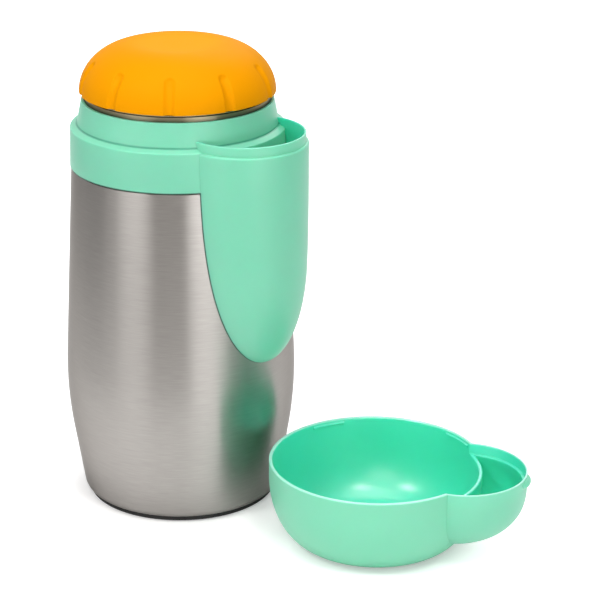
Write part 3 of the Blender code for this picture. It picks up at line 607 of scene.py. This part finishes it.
pocket_bottom = pocket_tip_z - pocket_curve / 2
steel_side = [point for point in body_side if point[1] > pocket_bottom]
steel_side.append((body_radius(pocket_bottom), pocket_bottom))
ring_inside = [
    (radius - fit_gap / 2, height - fit_gap / 2) for radius, height in collar_side if height > collar_z + 1]
pocket_back = turned([(0, ring_inside[0][1])] + ring_inside + offset(
    steel_side, -(fit_gap + pocket_back_wall)) + [(0, pocket_bottom)], 288)
pocket_core = turned([
    (0, cone_top_z), (core_neck, cone_top_z), (core_neck, core_neck_z), (core_ring, shelf_z),
    (core_ring, collar_z + 0.9)] + offset(steel_side, -fit_gap) + [(0, pocket_bottom)], 288)
pocket_inside = lofted(pocket_levels(pocket_wall) + pocket_circles([
    (pocket_mouth, pocket_lip_z - 0.4), (pocket_mouth + 0.05, pocket_lip_z - 0.2),
    (pocket_mouth + 0.2, pocket_lip_z - 0.05), (pocket_mouth + 0.35, pocket_lip_z),
    (pocket_mouth + 0.35, pocket_lip_z + 4)]))
pocket_outside = lofted(pocket_levels(0.0) + pocket_circles(eased([
    (pocket_radius, collar_z), (pocket_radius, ledge_z, 0.9), (pocket_lip_radius, ledge_z, 0.15),
    (pocket_lip_radius, pocket_lip_z, 0.35), (pocket_mouth, pocket_lip_z)])[1:-1]))
pocket_mesh = shaped(pocket_outside, ("DIFFERENCE", shaped(pocket_inside, ("DIFFERENCE", pocket_back))),
                     ("DIFFERENCE", pocket_core))
collar_mesh = shaped(ring_mesh, ("UNION", pocket_mesh))


def mint_plastic(name):
    """Mint plastic: satin, but clear and glossy where the polish value is 1. Hands back its colour too."""
    finish, shader, start = new_finish(name, {
        "Specular IOR Level": 0.6, "Subsurface Weight": 0.6, "Subsurface Radius": (0.4, 1.0, 0.8),
        "Subsurface Scale": 3 * MM, "Coat IOR": 1.75, "Coat Roughness": 0.45})
    grain = start.noise((0.35, 0.35, 0.35), 3.0)
    flow = start.noise((32.0, 32.0, 32.0))
    gloss = start.made("ShaderNodeAttribute", {"attribute_name": "polish"}, output="Fac")
    tint = (flow * 0.85 + grain * 0.15).colour((0.18, 0.605, 0.416), (0.21, 0.645, 0.456))
    clear = flow.colour((0.04, 0.70, 0.475), (0.055, 0.74, 0.515))
    colour = gloss.blend(tint, clear)
    colour.into(shader, "Base Color")
    (0.33 + grain * 0.12 - gloss * 0.14).into(shader, "Roughness")
    gloss.into(shader, "Coat Weight")
    (grain * (1 - gloss * 0.85)).bump(0.02, 0.5).into(shader, "Normal")
    return finish, shader, start, colour


def mark_polish(mesh, is_polished=lambda face: True, amount=1.0):
    """Marks the faces that come off the polished side of the mould. A cut or a join carries the marks on."""
    polish = mesh.attributes.get("polish") or mesh.attributes.new("polish", "FLOAT", "FACE")
    for face, mark in zip(mesh.polygons, polish.data):
        if is_polished(face):
            mark.value = max(mark.value, amount)
    return mesh


def inside_pocket(face):
    """True on the pocket's inner walls: they lie well within its outline and face its middle."""
    place = Vector(pocket_place(pocket_offset)) * MM
    outwards = face.center.xy - place
    return outwards.length < (pocket_radius - 0.4) * MM and face.normal.xy.dot(outwards) < 0 and (
        face.center.xy.length > (collar_radius - 4) * MM)


collar_finish, shader, start, colour = mint_plastic("mint_collar")
place = start.made("ShaderNodeTexCoord", output="Object")
x, y, z = (start.made("ShaderNodeSeparateXYZ", None, {"Vector": place}, axis) for axis in "XYZ")
# Painted shade: the mint turns dark along its seam with the steel, and darker in the crease at the cone's
# foot.
spread = (bulge[0] - body_top[0]) / (seat_z - bulge[1])
radius = start.maths("SQRT", x * x + y * y)
above_steel = radius - (body_top[0] + seat_z * spread) * MM + z * spread
seam = start.maths("MAXIMUM", above_steel, z - seat_z * MM).ramp(
    seam_inner * MM, seam_outer * MM, 1.0, 0.0)
along = radius - cone_foot[0] * MM
up = z - cone_foot[1] * MM
crease = start.maths("SQRT", along * along + up * up).ramp(
    crease_inner * MM, crease_outer * MM, 0.7, 0.0)
crease_shaded = crease.blend(colour, (0.04, 0.33, 0.21, 1.0))
seam.blend(crease_shaded, (0.012, 0.06, 0.04, 1.0)).into(shader, "Base Color")

mark_polish(collar_mesh, inside_pocket)
collar = add_piece("collar_and_pocket", collar_mesh, collar_finish)
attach(collar, "flask")
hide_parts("collar")

# Collar seal
# A silicone ring squeezed between the neck and the collar, which keeps washing water out of the gap.
# It is moulded dark, with rounded edges.
ring_low = 157.5
ring_high = ring_seal_top - fit_gap
ring_outer = ring_seal_bore - fit_gap
collar_seal_mesh = turned(eased([
    (ring_outer, ring_high, 0.3), (ring_outer, ring_low, 0.3), (cone_bore, ring_low, 0.3),
    (cone_bore, ring_high, 0.3)]))
dark_silicone, shader, start = new_finish("dark_silicone", {"Specular IOR Level": 0.4})
dust = start.noise((1.5, 1.5, 1.5), 3.0)
dust.colour((0.06, 0.06, 0.06), (0.11, 0.11, 0.11)).into(shader, "Base Color")
(0.48 + dust * 0.2).into(shader, "Roughness")
dust.bump(0.02).into(shader, "Normal")
collar_seal = add_piece("collar_seal_ring", collar_seal_mesh, dark_silicone)
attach(collar_seal, "flask")
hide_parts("collar_seal")

# Stopper plug
# The stopper's lower half in orange plastic: a tube with a four-start thread that screws into the neck,
# and a flange that comes down on the lip. The dome is welded on over the flange.
stopper_z = lip_z + fit_gap
plug_radius = 33.0
plug_bore = 31.2
plug_flange = 36.75
plug_foot = 150.3
plug_crest = mouth_radius - 0.5
plug_thread_z = thread_z - 1.5
flange_top = stopper_z + 2.5


def orange_plastic(name, low, high, roughness):
    """Orange plastic with a fine moulded grain and a faintly clouded colour, which is handed back too."""
    finish, shader, start = new_finish(name, {"Specular IOR Level": 0.03})
    grain = start.noise((0.4, 0.4, 0.4), 3.0)
    flow = start.noise((24.0, 24.0, 18.0))
    colour = (flow * 0.8 + grain * 0.2).colour(low, high)
    colour.into(shader, "Base Color")
    (roughness + grain * 0.12).into(shader, "Roughness")
    grain.bump(0.02, 0.5).into(shader, "Normal")
    return finish, shader, start, colour


plug_finish = orange_plastic("orange_plug", (0.82, 0.28, 0.0), (0.87, 0.31, 0.0), 0.36)[0]
plug_thread = grown(bpy.data.meshes.new("thread"), ridge_tree(), {
    **thread_form, "Material": plug_finish, "Root": plug_radius * MM, "Crest": plug_crest * MM,
    "Height": plug_thread_z * MM})
plug_tube = turned(eased([
    (plug_flange, flange_top, 0.2), (plug_flange, stopper_z, 0.4), (plug_radius, stopper_z, 0.3),
    (plug_radius, plug_foot, 0.4), (plug_bore, plug_foot, 0.3), (plug_bore, flange_top, 0.2)]))
plug_mesh = shaped(plug_tube, ("UNION", plug_thread))
plug = add_piece("threaded_plug", plug_mesh, plug_finish)
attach(plug, "stopper")
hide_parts("stopper_plug")

# Gasket and its cover
# A soft silicone ring with a tapered lip seals on the cup's conical seat. A round plastic cover, pressed
# into the plug's tube by its spigot, holds the ring and closes the stopper's underside.
gasket_low = 146.6
gasket_high = 150.0
gasket_radius = 33.2
gasket_taper = 0.9
gasket_mesh = turned(eased([
    (gasket_radius, gasket_high, 0.3), (gasket_radius, gasket_low + gasket_taper, 0.3),
    (gasket_radius - gasket_taper, gasket_low, 0.25), (plug_bore, gasket_low, 0.2),
    (plug_bore, gasket_high, 0.2)]))
clear_silicone, shader, start = new_finish("clear_silicone", {
    "Subsurface Weight": 0.25, "Subsurface Radius": (0.002, 0.002, 0.002), "Subsurface Scale": 1.0})
bloom = start.noise((4.0, 4.0, 4.0), 3.0)
bloom.colour((0.74, 0.74, 0.71), (0.84, 0.84, 0.82)).into(shader, "Base Color")
(0.42 + bloom * 0.2).into(shader, "Roughness")
bloom.bump(0.02).into(shader, "Normal")
gasket = add_piece("gasket_ring", gasket_mesh, clear_silicone)
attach(gasket, "stopper")
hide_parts("stopper_gasket")

spigot_radius = plug_bore - fit_gap
spigot_bore = 29.3
spigot_top = 152.3
cover_top = gasket_low - fit_gap
cover_low = cover_top - 1.4
cover_radius = 31.7
dish_radius = 24.0
dish_z = cover_low + 0.35
cover_finish = orange_plastic("orange_cover", (0.81, 0.275, 0.0), (0.86, 0.30, 0.0), 0.34)[0]
cover_mesh = turned(eased([
    (0, cover_top), (spigot_bore, cover_top, 0.3), (spigot_bore, spigot_top, 0.3),
    (spigot_radius, spigot_top, 0.5), (spigot_radius, cover_top, 0.15), (cover_radius, cover_top, 0.25),
    (cover_radius, cover_low, 0.5), (dish_radius, cover_low, 0.6), (dish_radius - 0.6, dish_z, 0.3),
    (0, dish_z)]))
cover = add_piece("gasket_cover", cover_mesh, cover_finish)
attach(cover, "stopper")
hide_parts("stopper_disc")

# Foam core
# Rigid white foam that fills the plug's tube and the hollow of the dome and keeps the heat in. It is
# cast as one block, so its skin shows the cells.
foam_brim = 33.7
foam_flat = 17.0
foam_crown_z = 186.3
foam_brim_z = stopper_z + 2.8
foam_foot = 29.0
foam_step_z = spigot_top + fit_gap
foam_crown = []
for step in range(13):
    angle = FULL_TURN / 4 * step / 12
    foam_crown.append((foam_flat + (foam_brim - foam_flat) * math.sin(angle),
                       foam_brim_z + (foam_crown_z - foam_brim_z) * math.cos(angle)))
foam_mesh = turned([(0, foam_crown_z)] + foam_crown + eased([
    (spigot_radius, foam_brim_z), (spigot_radius, foam_step_z, 0.6), (foam_foot, foam_step_z, 0.3),
    (foam_foot, gasket_low, 0.6), (0, gasket_low)]))
white_foam, shader, start = new_finish("white_foam", {"Specular IOR Level": 0.2})
place = start.made("ShaderNodeTexCoord", output="Object")
cells = start.made("ShaderNodeTexVoronoi", None, {"Vector": place, "Scale": 1 / (1.6 * MM)}, "Distance")
cells.colour((0.88, 0.875, 0.85), (0.70, 0.695, 0.67)).into(shader, "Base Color")
(0.75 + cells * 0.2).into(shader, "Roughness")
(1 - cells).bump(0.25).into(shader, "Normal")
foam = add_piece("foam_core", foam_mesh, white_foam)
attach(foam, "stopper_core")
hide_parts("stopper_foam")

# Stopper dome
# The stopper's hand grip in matt orange plastic: a domed cap with a slightly dished top and ten finger
# grooves round its skirt, welded over the plug's flange.
dome_radius = 39.05
dome_flat = 17.0
dome_height = 19.1
dome_dish = 0.3
dome_wall = 2.0
groove_count = 10
groove_phase = math.radians(-90.5)
groove_radius = 2.9
groove_depth = 1.0
groove_reach = math.radians(38)
sheen_inner = 11.0
sheen_outer = 25.0


def groove_tree():
    """Node tree that presses round-ended grooves into the outside of a dome, evenly round its skirt."""
    tree = bpy.data.node_groups.new("finger_grooves", "GeometryNodeTree")
    tree.interface.new_socket("Geometry", in_out="OUTPUT", socket_type="NodeSocketGeometry")
    tree.interface.new_socket("Geometry", in_out="INPUT", socket_type="NodeSocketGeometry")
    tree.interface.new_socket("Material", in_out="INPUT", socket_type="NodeSocketMaterial")
    for size in ("Count", "Phase", "Groove", "Depth", "Reach", "Flat", "Foot", "Width", "Height"):
        tree.interface.new_socket(size, in_out="INPUT", socket_type="NodeSocketFloat")
    given = tree.nodes.new("NodeGroupInput")
    dome, material, count, phase, groove, depth, reach, flat, foot, width, height = (
        Value(tree, socket) for socket in list(given.outputs)[:-1])

    start = Value(tree)
    place = start.made("GeometryNodeInputPosition")
    x, y, z = (start.made("ShaderNodeSeparateXYZ", None, {"Vector": place}, axis) for axis in "XYZ")
    radius = start.maths("MAXIMUM", start.maths("SQRT", x * x + y * y), 0.1 * MM)
    across = (radius - flat) / width
    up = (z - foot) / height
    slope = start.maths("ARCTAN2", up, across)
    sector = FULL_TURN / count
    turn = start.maths("FLOORED_MODULO", start.maths("ARCTAN2", y, x) - phase + sector * 0.5, sector)
    side = radius * (turn - sector * 0.5)
    beyond = start.maths("MAXIMUM", slope - reach, 0.0) * (width + height) * 0.5
    room = start.maths("MAXIMUM", groove * groove - side * side - beyond * beyond, 0.0)
    cut = start.maths("SMOOTH_MAX", start.maths("SQRT", room) - (groove - depth), 0.0, depth * 0.35)
    outside = start.maths("GREATER_THAN", across * across + up * up, 0.93)
    lean = start.maths("COSINE", slope) / width
    lift = start.maths("SINE", slope) / height
    outwards = start.made("ShaderNodeVectorMath", {"operation": "NORMALIZE"}, {0: start.made(
        "ShaderNodeCombineXYZ", None, {"X": x / radius * lean, "Y": y / radius * lean, "Z": lift})})
    move = start.made("ShaderNodeVectorMath", {"operation": "SCALE"}, {
        "Vector": outwards, "Scale": 0.0 - cut * outside})
    pressed = start.made("GeometryNodeSetPosition", None, {"Geometry": dome, "Offset": move})
    plain = start.made("GeometryNodeRealizeInstances", None, {"Geometry": pressed})
    coated = start.made("GeometryNodeSetMaterial", None, {"Geometry": plain, "Material": material})
    coated.into(tree.nodes.new("NodeGroupOutput"), "Geometry")
    return tree


dome_top = stopper_z + dome_height
dome_outside = [(0, dome_top - dome_dish)]
for step in range(1, 9):
    share = step / 8
    dome_outside.append((dome_flat * share * 0.98, dome_top - dome_dish * (1 - share ** 3)))
for step in range(73):
    angle = math.radians(90 - 88.5 * step / 72)
    dome_outside.append((dome_flat + (dome_radius - dome_flat) * math.cos(angle),
                         stopper_z + dome_height * math.sin(angle)))
skirt_bore = dome_radius - dome_wall
skirt_top = foam_brim_z
hollow_top = dome_top - dome_dish - dome_wall
dome_inside = []
for step in range(13):
    angle = FULL_TURN / 4 * step / 12
    dome_inside.append((dome_flat + (skirt_bore - dome_flat) * math.cos(angle),
                        skirt_top + (hollow_top - skirt_top) * math.sin(angle)))
dome_edge = eased([dome_outside[-1], (dome_radius - 0.02, stopper_z, 0.35), (skirt_bore, stopper_z, 0.25),
                   dome_inside[0]], 4)[1:-1]
dome_finish, shader, start, colour = orange_plastic(
    "orange_dome", (0.76, 0.284, 0.0), (0.80, 0.309, 0.0), 0.48)
place = start.made("ShaderNodeTexCoord", output="Object")
x, y = (start.made("ShaderNodeSeparateXYZ", None, {"Vector": place}, axis) for axis in "XY")
# Painted sheen: the orange turns paler over the middle of the dished top.
top_sheen = start.maths("SQRT", x * x + y * y).ramp(sheen_inner * MM, sheen_outer * MM, 1.0, 0.0)
top_sheen.blend(colour, (0.85, 0.34, 0.002, 1.0)).into(shader, "Base Color")
dome_mesh = grown(turned(dome_outside + dome_edge + dome_inside + [(0, hollow_top)], 720), groove_tree(), {
    "Material": dome_finish, "Count": groove_count, "Phase": groove_phase, "Groove": groove_radius * MM,
    "Depth": groove_depth * MM, "Reach": groove_reach, "Flat": dome_flat * MM, "Foot": stopper_z * MM,
    "Width": (dome_radius - dome_flat) * MM, "Height": dome_height * MM})
dome = add_piece("grip_dome", dome_mesh, dome_finish, 40)
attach(dome, "stopper")
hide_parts("stopper_dome")

# Bowl cap
# The mint cap, taken off and set down as a bowl: a round dish, and a lobe that covers the spoon pocket,
# with a low wall between. It is one moulding, polished inside, with a painted highlight that turns
# its rim pale, and four beads snap it on the collar's neck.
bowl_radius = 42.3
bowl_height = 33.874
bowl_wall = 1.45
bowl_floor = 1.4
bowl_corner = (16.7, 26.7)
lobe_radius = 25.1
lobe_offset = 35.4
lobe_lift = 5.0
lobe_top = 28.0
lobe_squareness = 2.4
lobe_lean = 0.3
lobe_step_z = bowl_height - 4.3
lobe_wall = 2.0
mouth_wall = 0.75
tab_size = (3.2, 6.0, 2.3)
tab_offset = lobe_offset + lobe_radius - 1.6
tab_z = bowl_height - 2.6
bead_span = math.radians(20)
bead_middle = math.radians(48)
bead_depth = 0.65
bead_z = bowl_height - 1.7
rim_polish = 0.35
bowl_distance = 94.0
bowl_azimuth = math.radians(-31)
bowl_place = (bowl_distance * math.cos(bowl_azimuth) * MM, bowl_distance * math.sin(bowl_azimuth) * MM)
lobe_azimuth = math.radians(-13.6)


def bowl_side(wall, floor):
    """The bowl's side from rim to floor, moved in by a wall's thickness."""
    points = []
    for step in range(49):
        angle = FULL_TURN / 4 * step / 48
        points.append((bowl_radius - bowl_corner[0] + (bowl_corner[0] - wall) * math.cos(angle),
                       bowl_corner[1] - (bowl_corner[1] - floor) * math.sin(angle)))
    return points + [(0, floor)]


def lobe_levels(wall, bottom, count=48):
    """Level circles of the lobe's rounded underside, lowest first."""
    levels = []
    for level in range(1, count + 1):
        share = math.cos(FULL_TURN / 4 * level / count)
        radius = (lobe_radius - wall) * (1 - share ** lobe_squareness) ** (1 / lobe_squareness)
        lean = lobe_lean * (lobe_radius - wall - radius)
        levels.append((lobe_offset - lean, 0, lobe_top - (lobe_top - bottom) * share, radius))
    return levels


def lobe_circles(path):
    return [(lobe_offset, 0, height, radius) for radius, height in path]


rim_inside = bowl_radius - bowl_wall
rim_opening = rim_inside + 0.45
lobe_inside = lobe_radius - lobe_wall
mouth_inside = lobe_radius - mouth_wall
above = bowl_height + 4.0
bowl_outside = [(0, bowl_height)] + eased([
    (0, bowl_height), (bowl_radius, bowl_height, 0.5), (bowl_radius, bowl_corner[1])])[1:-1]
bowl_outside += bowl_side(0.0, 0.0)
bowl_hollow = [(0, above), (rim_opening, above)] + eased([
    (rim_opening, above), (rim_opening, bowl_height, 0.05), (rim_inside, bowl_height - 0.6, 0.3),
    (rim_inside, bowl_corner[1])])[1:-1] + bowl_side(bowl_wall, bowl_floor)
lobe_body = lofted(lobe_levels(0.0, lobe_lift) + lobe_circles(eased([
    (lobe_radius, lobe_top), (lobe_radius, bowl_height, 0.3), (mouth_inside, bowl_height)])[1:-1]))
lobe_hollow = lofted(lobe_levels(lobe_wall, lobe_lift + bowl_floor) + lobe_circles([
    (lobe_inside, lobe_step_z - 0.4), (lobe_inside + 0.1, lobe_step_z - 0.12),
    (lobe_inside + 0.35, lobe_step_z), (lobe_inside + 0.35, lobe_step_z + 1.0)]))
divider_middle = bowl_radius - bowl_wall / 2
divider_top = []
for step in range(13):
    angle = math.pi * step / 12
    divider_top.append((divider_middle + (bowl_wall / 2 + 0.1) * math.cos(angle),
                        lobe_step_z - 0.6 + 0.6 * math.sin(angle)))
divider = turned(divider_top + [(rim_inside - 0.1, 20.0), (bowl_radius + 0.1, 20.0)], 288)
lobe_mouth = lofted(lobe_circles([
    (lobe_inside, lobe_step_z - 0.7), (lobe_inside, lobe_step_z), (mouth_inside - 0.3, lobe_step_z),
    (mouth_inside - 0.08, lobe_step_z + 0.08), (mouth_inside, lobe_step_z + 0.3),
    (mouth_inside, bowl_height - 0.35), (mouth_inside + 0.08, bowl_height - 0.12),
    (mouth_inside + 0.3, bowl_height), (mouth_inside + 0.3, above)]))
tab_shape = bmesh.new()
bmesh.ops.create_uvsphere(tab_shape, u_segments=64, v_segments=32, radius=MM, matrix=Matrix.Translation(
    (tab_offset * MM, 0, tab_z * MM)) @ Matrix.Diagonal((*tab_size, 1)))
tab = bpy.data.meshes.new("thumb_tab")
tab_shape.to_mesh(tab)
tab_shape.free()

dish_core = mark_polish(turned(bowl_hollow, 288))
lobe_core = mark_polish(shaped(lobe_hollow, ("DIFFERENCE", turned(bowl_outside, 288))))
mouth_core = mark_polish(shaped(lobe_mouth, ("DIFFERENCE", divider)))
bowl_mesh = shaped(turned(bowl_outside, 288), ("UNION", lobe_body), ("UNION", tab), ("DIFFERENCE", dish_core),
                   ("DIFFERENCE", lobe_core), ("DIFFERENCE", mouth_core))
bowl_finish, shader, start, colour = mint_plastic("mint_bowl")
place = start.made("ShaderNodeTexCoord", output="Object")
z = start.made("ShaderNodeSeparateXYZ", None, {"Vector": place}, "Z")
# Painted highlight: the colour turns pale at the top of the rim.
rim_highlight = z.ramp((bowl_height - 0.6) * MM, (bowl_height - 0.15) * MM, 0.0, 0.65)
rim_highlight.blend(colour, (0.47, 0.84, 0.70, 1.0)).into(shader, "Base Color")
for middle in (bead_middle, math.pi - bead_middle):
    beads = grown(bpy.data.meshes.new("beads"), ridge_tree(), {
        "Material": bowl_finish, "Count": 2, "Root": rim_inside * MM, "Crest": (rim_inside - bead_depth) * MM,
        "Height": bead_z * MM, "Climb": 0.0, "Span": bead_span, "Phase": middle - bead_span / 2,
        "Root Width": 0.9 * MM, "Crest Width": 0.3 * MM, "Sink": 0.3 * MM, "Round": 0.25 * MM})
    bowl_mesh = shaped(bowl_mesh, ("UNION", mark_polish(beads)))


def on_rim(face):
    """True on the upward faces of the dish's and the lobe's rims, but not on the thumb tab."""
    from_lobe = face.center.xy - Vector((lobe_offset * MM, 0))
    on_dish = face.center.xy.length < (bowl_radius + 0.05) * MM
    on_lobe = from_lobe.length < (lobe_radius + 0.05) * MM
    return (on_dish or on_lobe) and face.normal.z > 0.3


mark_polish(bowl_mesh, on_rim, rim_polish)
bowl_mesh.transform(Matrix.Translation((*bowl_place, 0)) @ Matrix.Rotation(lobe_azimuth, 4, "Z"))
bowl = add_piece("bowl_cap_moulding", bowl_mesh, bowl_finish)
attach(bowl, "bowl")
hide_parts("bowl_cap")

# Studio
# A wide floor with a painted pool of light, pale round the things and grey further off, that glows as
# painted light for the camera and in reflections; two soft lamps, a dim one between them and three low
# panels in front; a large lamp overhead and one behind; a grey room with a pale backdrop and a dark screen
# at one side; the camera.
floor_radius = 2600.0
floor_top = -0.2
floor_foot = -20.0
floor_mesh = turned([
    (0, floor_top), (floor_radius, floor_top), (floor_radius, floor_foot), (0, floor_foot)], 128)
floor_finish, shader, start = new_finish("pale_floor", {
    "Specular IOR Level": 0.0, "Roughness": 1.0, "Emission Strength": 1.0})
place = start.made("ShaderNodeTexCoord", output="Object")
x, y = (start.made("ShaderNodeSeparateXYZ", None, {"Vector": place}, axis) for axis in "XY")
ahead = start.maths("MINIMUM", y * 1.5, 0.0)
aside = (x - 0.07) / (1 + start.maths("MAXIMUM", y, 0.0))
# Painted pool of light: the floor's colour is paler round the things and stretching behind them, greyer
# further off.
light_pool = start.maths("SQRT", aside * aside + ahead * ahead).ramp(0.19, 0.50, 1.0, 0.0)
light_pool.colour((0.48, 0.48, 0.48), (0.80, 0.80, 0.80)).into(shader, "Base Color")


def away_from(centre, low, high):
    """0 within a low distance of a place on the floor, rising to 1 at a high one."""
    across, along = x - centre[0], y - centre[1]
    return start.maths("SQRT", across * across + along * along).ramp(low, high)


# Painted light: the floor glows for the camera and in reflections. The glow is weaker close to the jar, the
# gap beside it and the bowl, so that their shadows show. For the camera it is stronger at the sides, outside
# the pool and far behind.
past_jar = away_from((0.0, 0.0), 0.040, 0.062)
past_gap = away_from((0.055, -0.026), 0.018, 0.052)
past_bowl = away_from(bowl_place, 0.029, 0.043)
clear_of = start.maths("MINIMUM", past_jar, start.maths("MINIMUM", past_gap, past_bowl))
seen, mirrored, through = (start.made("ShaderNodeLightPath", output=kind) for kind in (
    "Is Camera Ray", "Is Glossy Ray", "Is Transmission Ray"))
sides = x.ramp(0.10, 0.15) + x.ramp(-0.10, -0.05, 0.8, 0.0)
reflected_glow = clear_of * 0.44 + y.ramp(-0.22, -0.10, 0.16, 0.0) + y.ramp(0.3, 1.0) * 0.4
camera_glow = 0.32 + clear_of * 0.28 + sides * 0.3 + (1 - light_pool) * 0.7 + y.ramp(0.3, 1.0) * 0.4
floor_glow = seen * camera_glow + start.maths("MINIMUM", mirrored + through, 1.0) * light_pool * reflected_glow
floor_glow.into(shader, "Emission Color")
floor = add_piece("floor", floor_mesh, floor_finish)

target = Vector((0.035, -0.02, 0.07))


def soft_lamp(name, azimuth, elevation, distance, width, height, power):
    """An oval soft box aimed at the jar, from an azimuth and elevation in degrees."""
    light = bpy.data.lights.new(name, "AREA")
    light.shape = "ELLIPSE"
    light.size = width
    light.size_y = height
    light.energy = power
    lamp = bpy.data.objects.new(name, light)
    flat = math.cos(math.radians(elevation))
    lamp.location = target + distance * Vector((
        flat * math.cos(math.radians(azimuth)), flat * math.sin(math.radians(azimuth)),
        math.sin(math.radians(elevation))))
    lamp.rotation_euler = (target - lamp.location).to_track_quat("-Z", "Y").to_euler()
    lamp.visible_camera = False
    bpy.context.scene.collection.objects.link(lamp)


soft_lamp("right_lamp", -62, 57, 1.25, 0.28, 0.28, 3.4)
soft_lamp("left_lamp", -141, 47, 1.25, 0.28, 0.28, 4.0)
soft_lamp("right_panel", -59.5, 4.5, 1.1, 0.84, 0.27, 3.15)
soft_lamp("left_panel", -133, 4.5, 1.1, 0.80, 0.27, 1.05)
soft_lamp("left_fill", -143, 4.5, 1.1, 1.10, 0.27, 0.80)
soft_lamp("front_lamp", -98, 33, 1.3, 0.8, 0.6, 2.4)
soft_lamp("top_lamp", -90, 84, 1.6, 1.4, 1.4, 11.0)
soft_lamp("back_lamp", 80, 36, 1.4, 0.6, 0.6, 3.0)

studio = bpy.data.worlds.new("studio")
studio.use_nodes = True
start = Value(studio.node_tree)
towards = start.made("ShaderNodeTexCoord", output="Generated")
across, depth = (start.made("ShaderNodeSeparateXYZ", None, {"Vector": towards}, axis) for axis in "XY")
room = depth.ramp(-0.9, 0.2).colour((0.17, 0.137, 0.10), (0.45, 0.45, 0.45))
seen, mirrored = (start.made("ShaderNodeLightPath", output=kind) for kind in (
    "Is Camera Ray", "Is Glossy Ray"))
backdrop = (mirrored * depth.ramp(0.1, 0.6)).blend(room, (0.85, 0.85, 0.85, 1.0))
screened = (mirrored * across.ramp(0.82, 0.94)).blend(backdrop, (0.08, 0.08, 0.07, 1.0))
seen.blend(screened, (1.0, 1.0, 1.0, 1.0)).into(studio.node_tree.nodes["Background"], "Color")
bpy.context.scene.world = studio
bpy.context.scene.view_settings.view_transform = "Standard"

camera_place = (0.06998, -0.86013, 0.40198)
pitch = math.radians(20.39)
yaw = math.radians(-1.4)
roll = math.radians(0.38)
away = Vector((math.sin(yaw) * math.cos(pitch), math.cos(yaw) * math.cos(pitch), -math.sin(pitch)))
level = Vector((math.cos(yaw), -math.sin(yaw), 0))
upright = level.cross(away)
right = level * math.cos(roll) + upright * math.sin(roll)
up = upright * math.cos(roll) - level * math.sin(roll)
lens = bpy.data.cameras.new("camera")
lens.sensor_width = 36.0
lens.lens = 134.67
camera = bpy.data.objects.new("camera", lens)
camera.matrix_world = Matrix.Translation(camera_place) @ Matrix((right, up, -away)).transposed().to_4x4()
bpy.context.scene.collection.objects.link(camera)
bpy.context.scene.camera = camera
